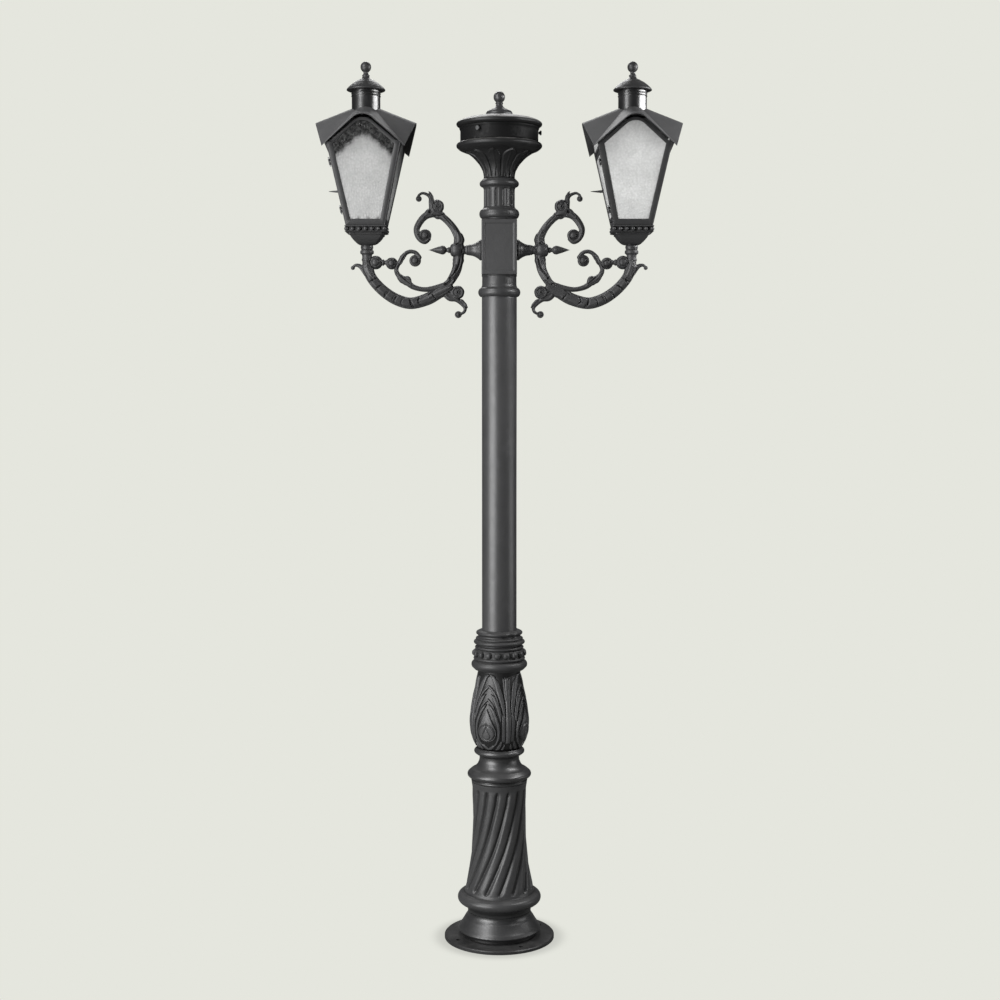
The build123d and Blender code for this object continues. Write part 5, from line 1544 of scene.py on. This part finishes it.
pan_g = pan()
for side, x in SIDES.items():
    glass = GLASS_R if side == "right" else GLASS_L
    piece(side + "_lantern_body", frame_g.moved(dx=x), LANTERN, "post", [side + "_lantern_frame"], sharp=40.0)
    piece(side + "_door_leaf", door_g.moved(dx=x), LANTERN, side + "_door", [side + "_door_frame"], sharp=40.0)
    piece(side + "_latch_lever", latch().moved(dx=x), LANTERN, side + "_latch", [side + "_door_latch"])
    piece(side + "_hood_sheet", hood_g.moved(dx=x), SHEET, "post", [side + "_hood"], sharp=30.0)
    piece(side + "_chimney_pipe", chim_g.moved(dx=x), PIPE, "post", [side + "_chimney"], sharp=50.0)
    piece(side + "_cap_dome", cap_g.moved(dx=x), DOME, "post", [side + "_vent_cap"], sharp=50.0)
    piece(side + "_pan_gallery", pan_g.moved(dx=x), GALLERY, "post", [side + "_lantern_pan"], sharp=42.0)
    gs, av = [], []
    for deg in (0, 90, 180, 270):
        seed = {0: 11, 90: 12, 180: 13, 270: 14}[deg] + (20 if side == "left" else 0)
        if deg == 270:
            g, a = pane(3622.4, 0, lambda z: half(z) - 25.4, lambda s: window_top(s, 1.3), -1.7, -5.3, seed)
        else:
            g, a = pane(3306.4, 0, lambda z: half(z) - 25.4, lambda s: window_top(s, 1.3), -1.7, -5.3, seed)
        gs.append(face_geo(g, deg))
        av.append(a)
    ob = piece(side + "_glass_panes", join(gs).moved(dx=x), glass, "post", [side + "_fixed_panes"], sharp=45.0)
    add_float(ob, "arch", np.concatenate(av))
    g, a = pane(3318.0, 0, lambda z: half(z) - JAMB - 14.4, lambda s: 3589.0, -1.7, -5.2, 31, zmax=3589.0)
    ob = piece(side + "_door_glass", face_geo(g, 270).moved(dx=x), glass, side + "_door", [side + "_door_pane"], sharp=45.0)
    add_float(ob, "arch", a)

# ------------------------------------------------------------------ carried-over solids get their finishes
def finish(node, mat):
    ob = NODES[node]
    ob.data.materials.clear()
    ob.data.materials.append(mat)


for node in ("base_flange", "rear_cover"):
    finish(node, CAST_PLAIN)
for node in ("arm_nuts", "arm_studs", "cover_screws", "terminal_plate"):
    finish(node, ZINC)
finish("terminal_block", PLASTIC)
for side in SIDES:
    finish(side + "_lamp_tray", LANTERN)
    finish(side + "_lampholder", PORCELAIN)
    finish(side + "_lamp", LAMP)
    finish(side + "_glazing_clips", ZINC)
    finish(side + "_hinge_pins", ZINC)

# ------------------------------------------------------------------ floor, backdrop, light, camera
BG = (lin(229), lin(230), lin(222), 1.0)


def stage_material():
    m = bpy.data.materials.new("pale_floor")
    m.use_nodes = True
    nt = m.node_tree
    nt.nodes.clear()
    out = nt.nodes.new("ShaderNodeOutputMaterial")
    em = nt.nodes.new("ShaderNodeEmission")
    em.inputs["Color"].default_value = BG
    em.inputs["Strength"].default_value = 1.0
    df = nt.nodes.new("ShaderNodeBsdfDiffuse")
    df.inputs["Color"].default_value = (0.20, 0.202, 0.196, 1.0)
    lp = nt.nodes.new("ShaderNodeLightPath")
    # painted contact shadow: seen by the camera, the floor darkens from the backdrop tone to 202 within 0.25 to 0.375 m
    # of the post axis
    near = nt.nodes.new("ShaderNodeNewGeometry")
    ln = nt.nodes.new("ShaderNodeVectorMath")
    ln.operation = "LENGTH"
    nt.links.new(near.outputs["Position"], ln.inputs[0])
    fade = nt.nodes.new("ShaderNodeMapRange")
    fade.inputs["From Min"].default_value = 0.250
    fade.inputs["From Max"].default_value = 0.375
    fade.inputs["To Min"].default_value = 1.0
    fade.inputs["To Max"].default_value = 0.0
    fade.interpolation_type = "SMOOTHERSTEP"
    nt.links.new(ln.outputs["Value"], fade.inputs["Value"])
    sq = nt.nodes.new("ShaderNodeMath")
    sq.operation = "POWER"
    nt.links.new(fade.outputs["Result"], sq.inputs[0])
    sq.inputs[1].default_value = 2.2
    tone = nt.nodes.new("ShaderNodeMix")
    tone.data_type = "RGBA"
    nt.links.new(sq.outputs["Value"], tone.inputs[0])
    tone.inputs[6].default_value = BG
    tone.inputs[7].default_value = (lin(202), lin(203), lin(196), 1.0)
    nt.links.new(tone.outputs[2], em.inputs["Color"])
    pick = nt.nodes.new("ShaderNodeMixShader")
    nt.links.new(lp.outputs["Is Camera Ray"], pick.inputs["Fac"])
    nt.links.new(df.outputs["BSDF"], pick.inputs[1])
    nt.links.new(em.outputs["Emission"], pick.inputs[2])
    nt.links.new(pick.outputs["Shader"], out.inputs["Surface"])
    return m


fl = bpy.data.meshes.new("floor")
R = 40.0
fl.from_pydata([(-R, -R, -0.0004), (R, -R, -0.0004), (R, R, -0.0004), (-R, R, -0.0004)], [], [(0, 1, 2, 3)])
floor = bpy.data.objects.new("floor", fl)
fl.materials.append(stage_material())
bpy.context.scene.collection.objects.link(floor)

world = bpy.data.worlds.new("studio")
bpy.context.scene.world = world
world.use_nodes = True
wn = world.node_tree
wn.nodes.clear()
wo = wn.nodes.new("ShaderNodeOutputWorld")
b1 = wn.nodes.new("ShaderNodeBackground")
b1.inputs["Color"].default_value = (0.9, 0.92, 0.95, 1.0)
b1.inputs["Strength"].default_value = 0.05
b2 = wn.nodes.new("ShaderNodeBackground")
b2.inputs["Color"].default_value = BG
b2.inputs["Strength"].default_value = 1.0
wl = wn.nodes.new("ShaderNodeLightPath")
wm = wn.nodes.new("ShaderNodeMixShader")
wn.links.new(wl.outputs["Is Camera Ray"], wm.inputs["Fac"])
wn.links.new(b1.outputs["Background"], wm.inputs[1])
wn.links.new(b2.outputs["Background"], wm.inputs[2])
wn.links.new(wm.outputs["Shader"], wo.inputs["Surface"])


def softbox(name, loc, aim, w, h, power, tint=(1.0, 1.0, 1.0)):
    d = bpy.data.lights.new(name, "AREA")
    d.shape = "RECTANGLE"
    d.size, d.size_y = w, h
    d.energy = power
    d.color = tint
    o = bpy.data.objects.new(name, d)
    bpy.context.scene.collection.objects.link(o)
    o.visible_camera = False
    o.location = loc
    o.rotation_euler = (Vector(aim) - Vector(loc)).to_track_quat("-Z", "Z").to_euler()
    return o


softbox("front_left_box", (-4.3, -4.1, 2.0), (0.0, 0.0, 1.9), 4.2, 3.9, 440)
softbox("right_box", (5.0, -0.3, 1.4), (0.0, 0.0, 1.4), 1.6, 2.7, 36)
softbox("top_right_box", (2.75, -0.2, 4.15), (0.6, 0.0, 3.85), 0.8, 2.6, 120)
softbox("top_left_box", (-3.3, -2.6, 6.0), (0.0, 0.0, 2.6), 2.2, 2.0, 190)
softbox("rear_top_box", (-0.6, 4.6, 7.4), (0.0, 0.0, 2.2), 3.6, 2.4, 190)

cam_data = bpy.data.cameras.new("camera")
cam_data.lens = 57.6
cam_data.sensor_width = 36.0
camera = bpy.data.objects.new("camera", cam_data)
bpy.context.scene.collection.objects.link(camera)
camera.location = (0.0032, -7.3, 2.618)
camera.rotation_euler = (math.radians(85.5), 0.0, 0.0)
bpy.context.scene.camera = camera
vs = bpy.context.scene.view_settings
vs.view_transform = "Standard"
vs.look = "None"
vs.exposure = 0.0
vs.gamma = 1.0
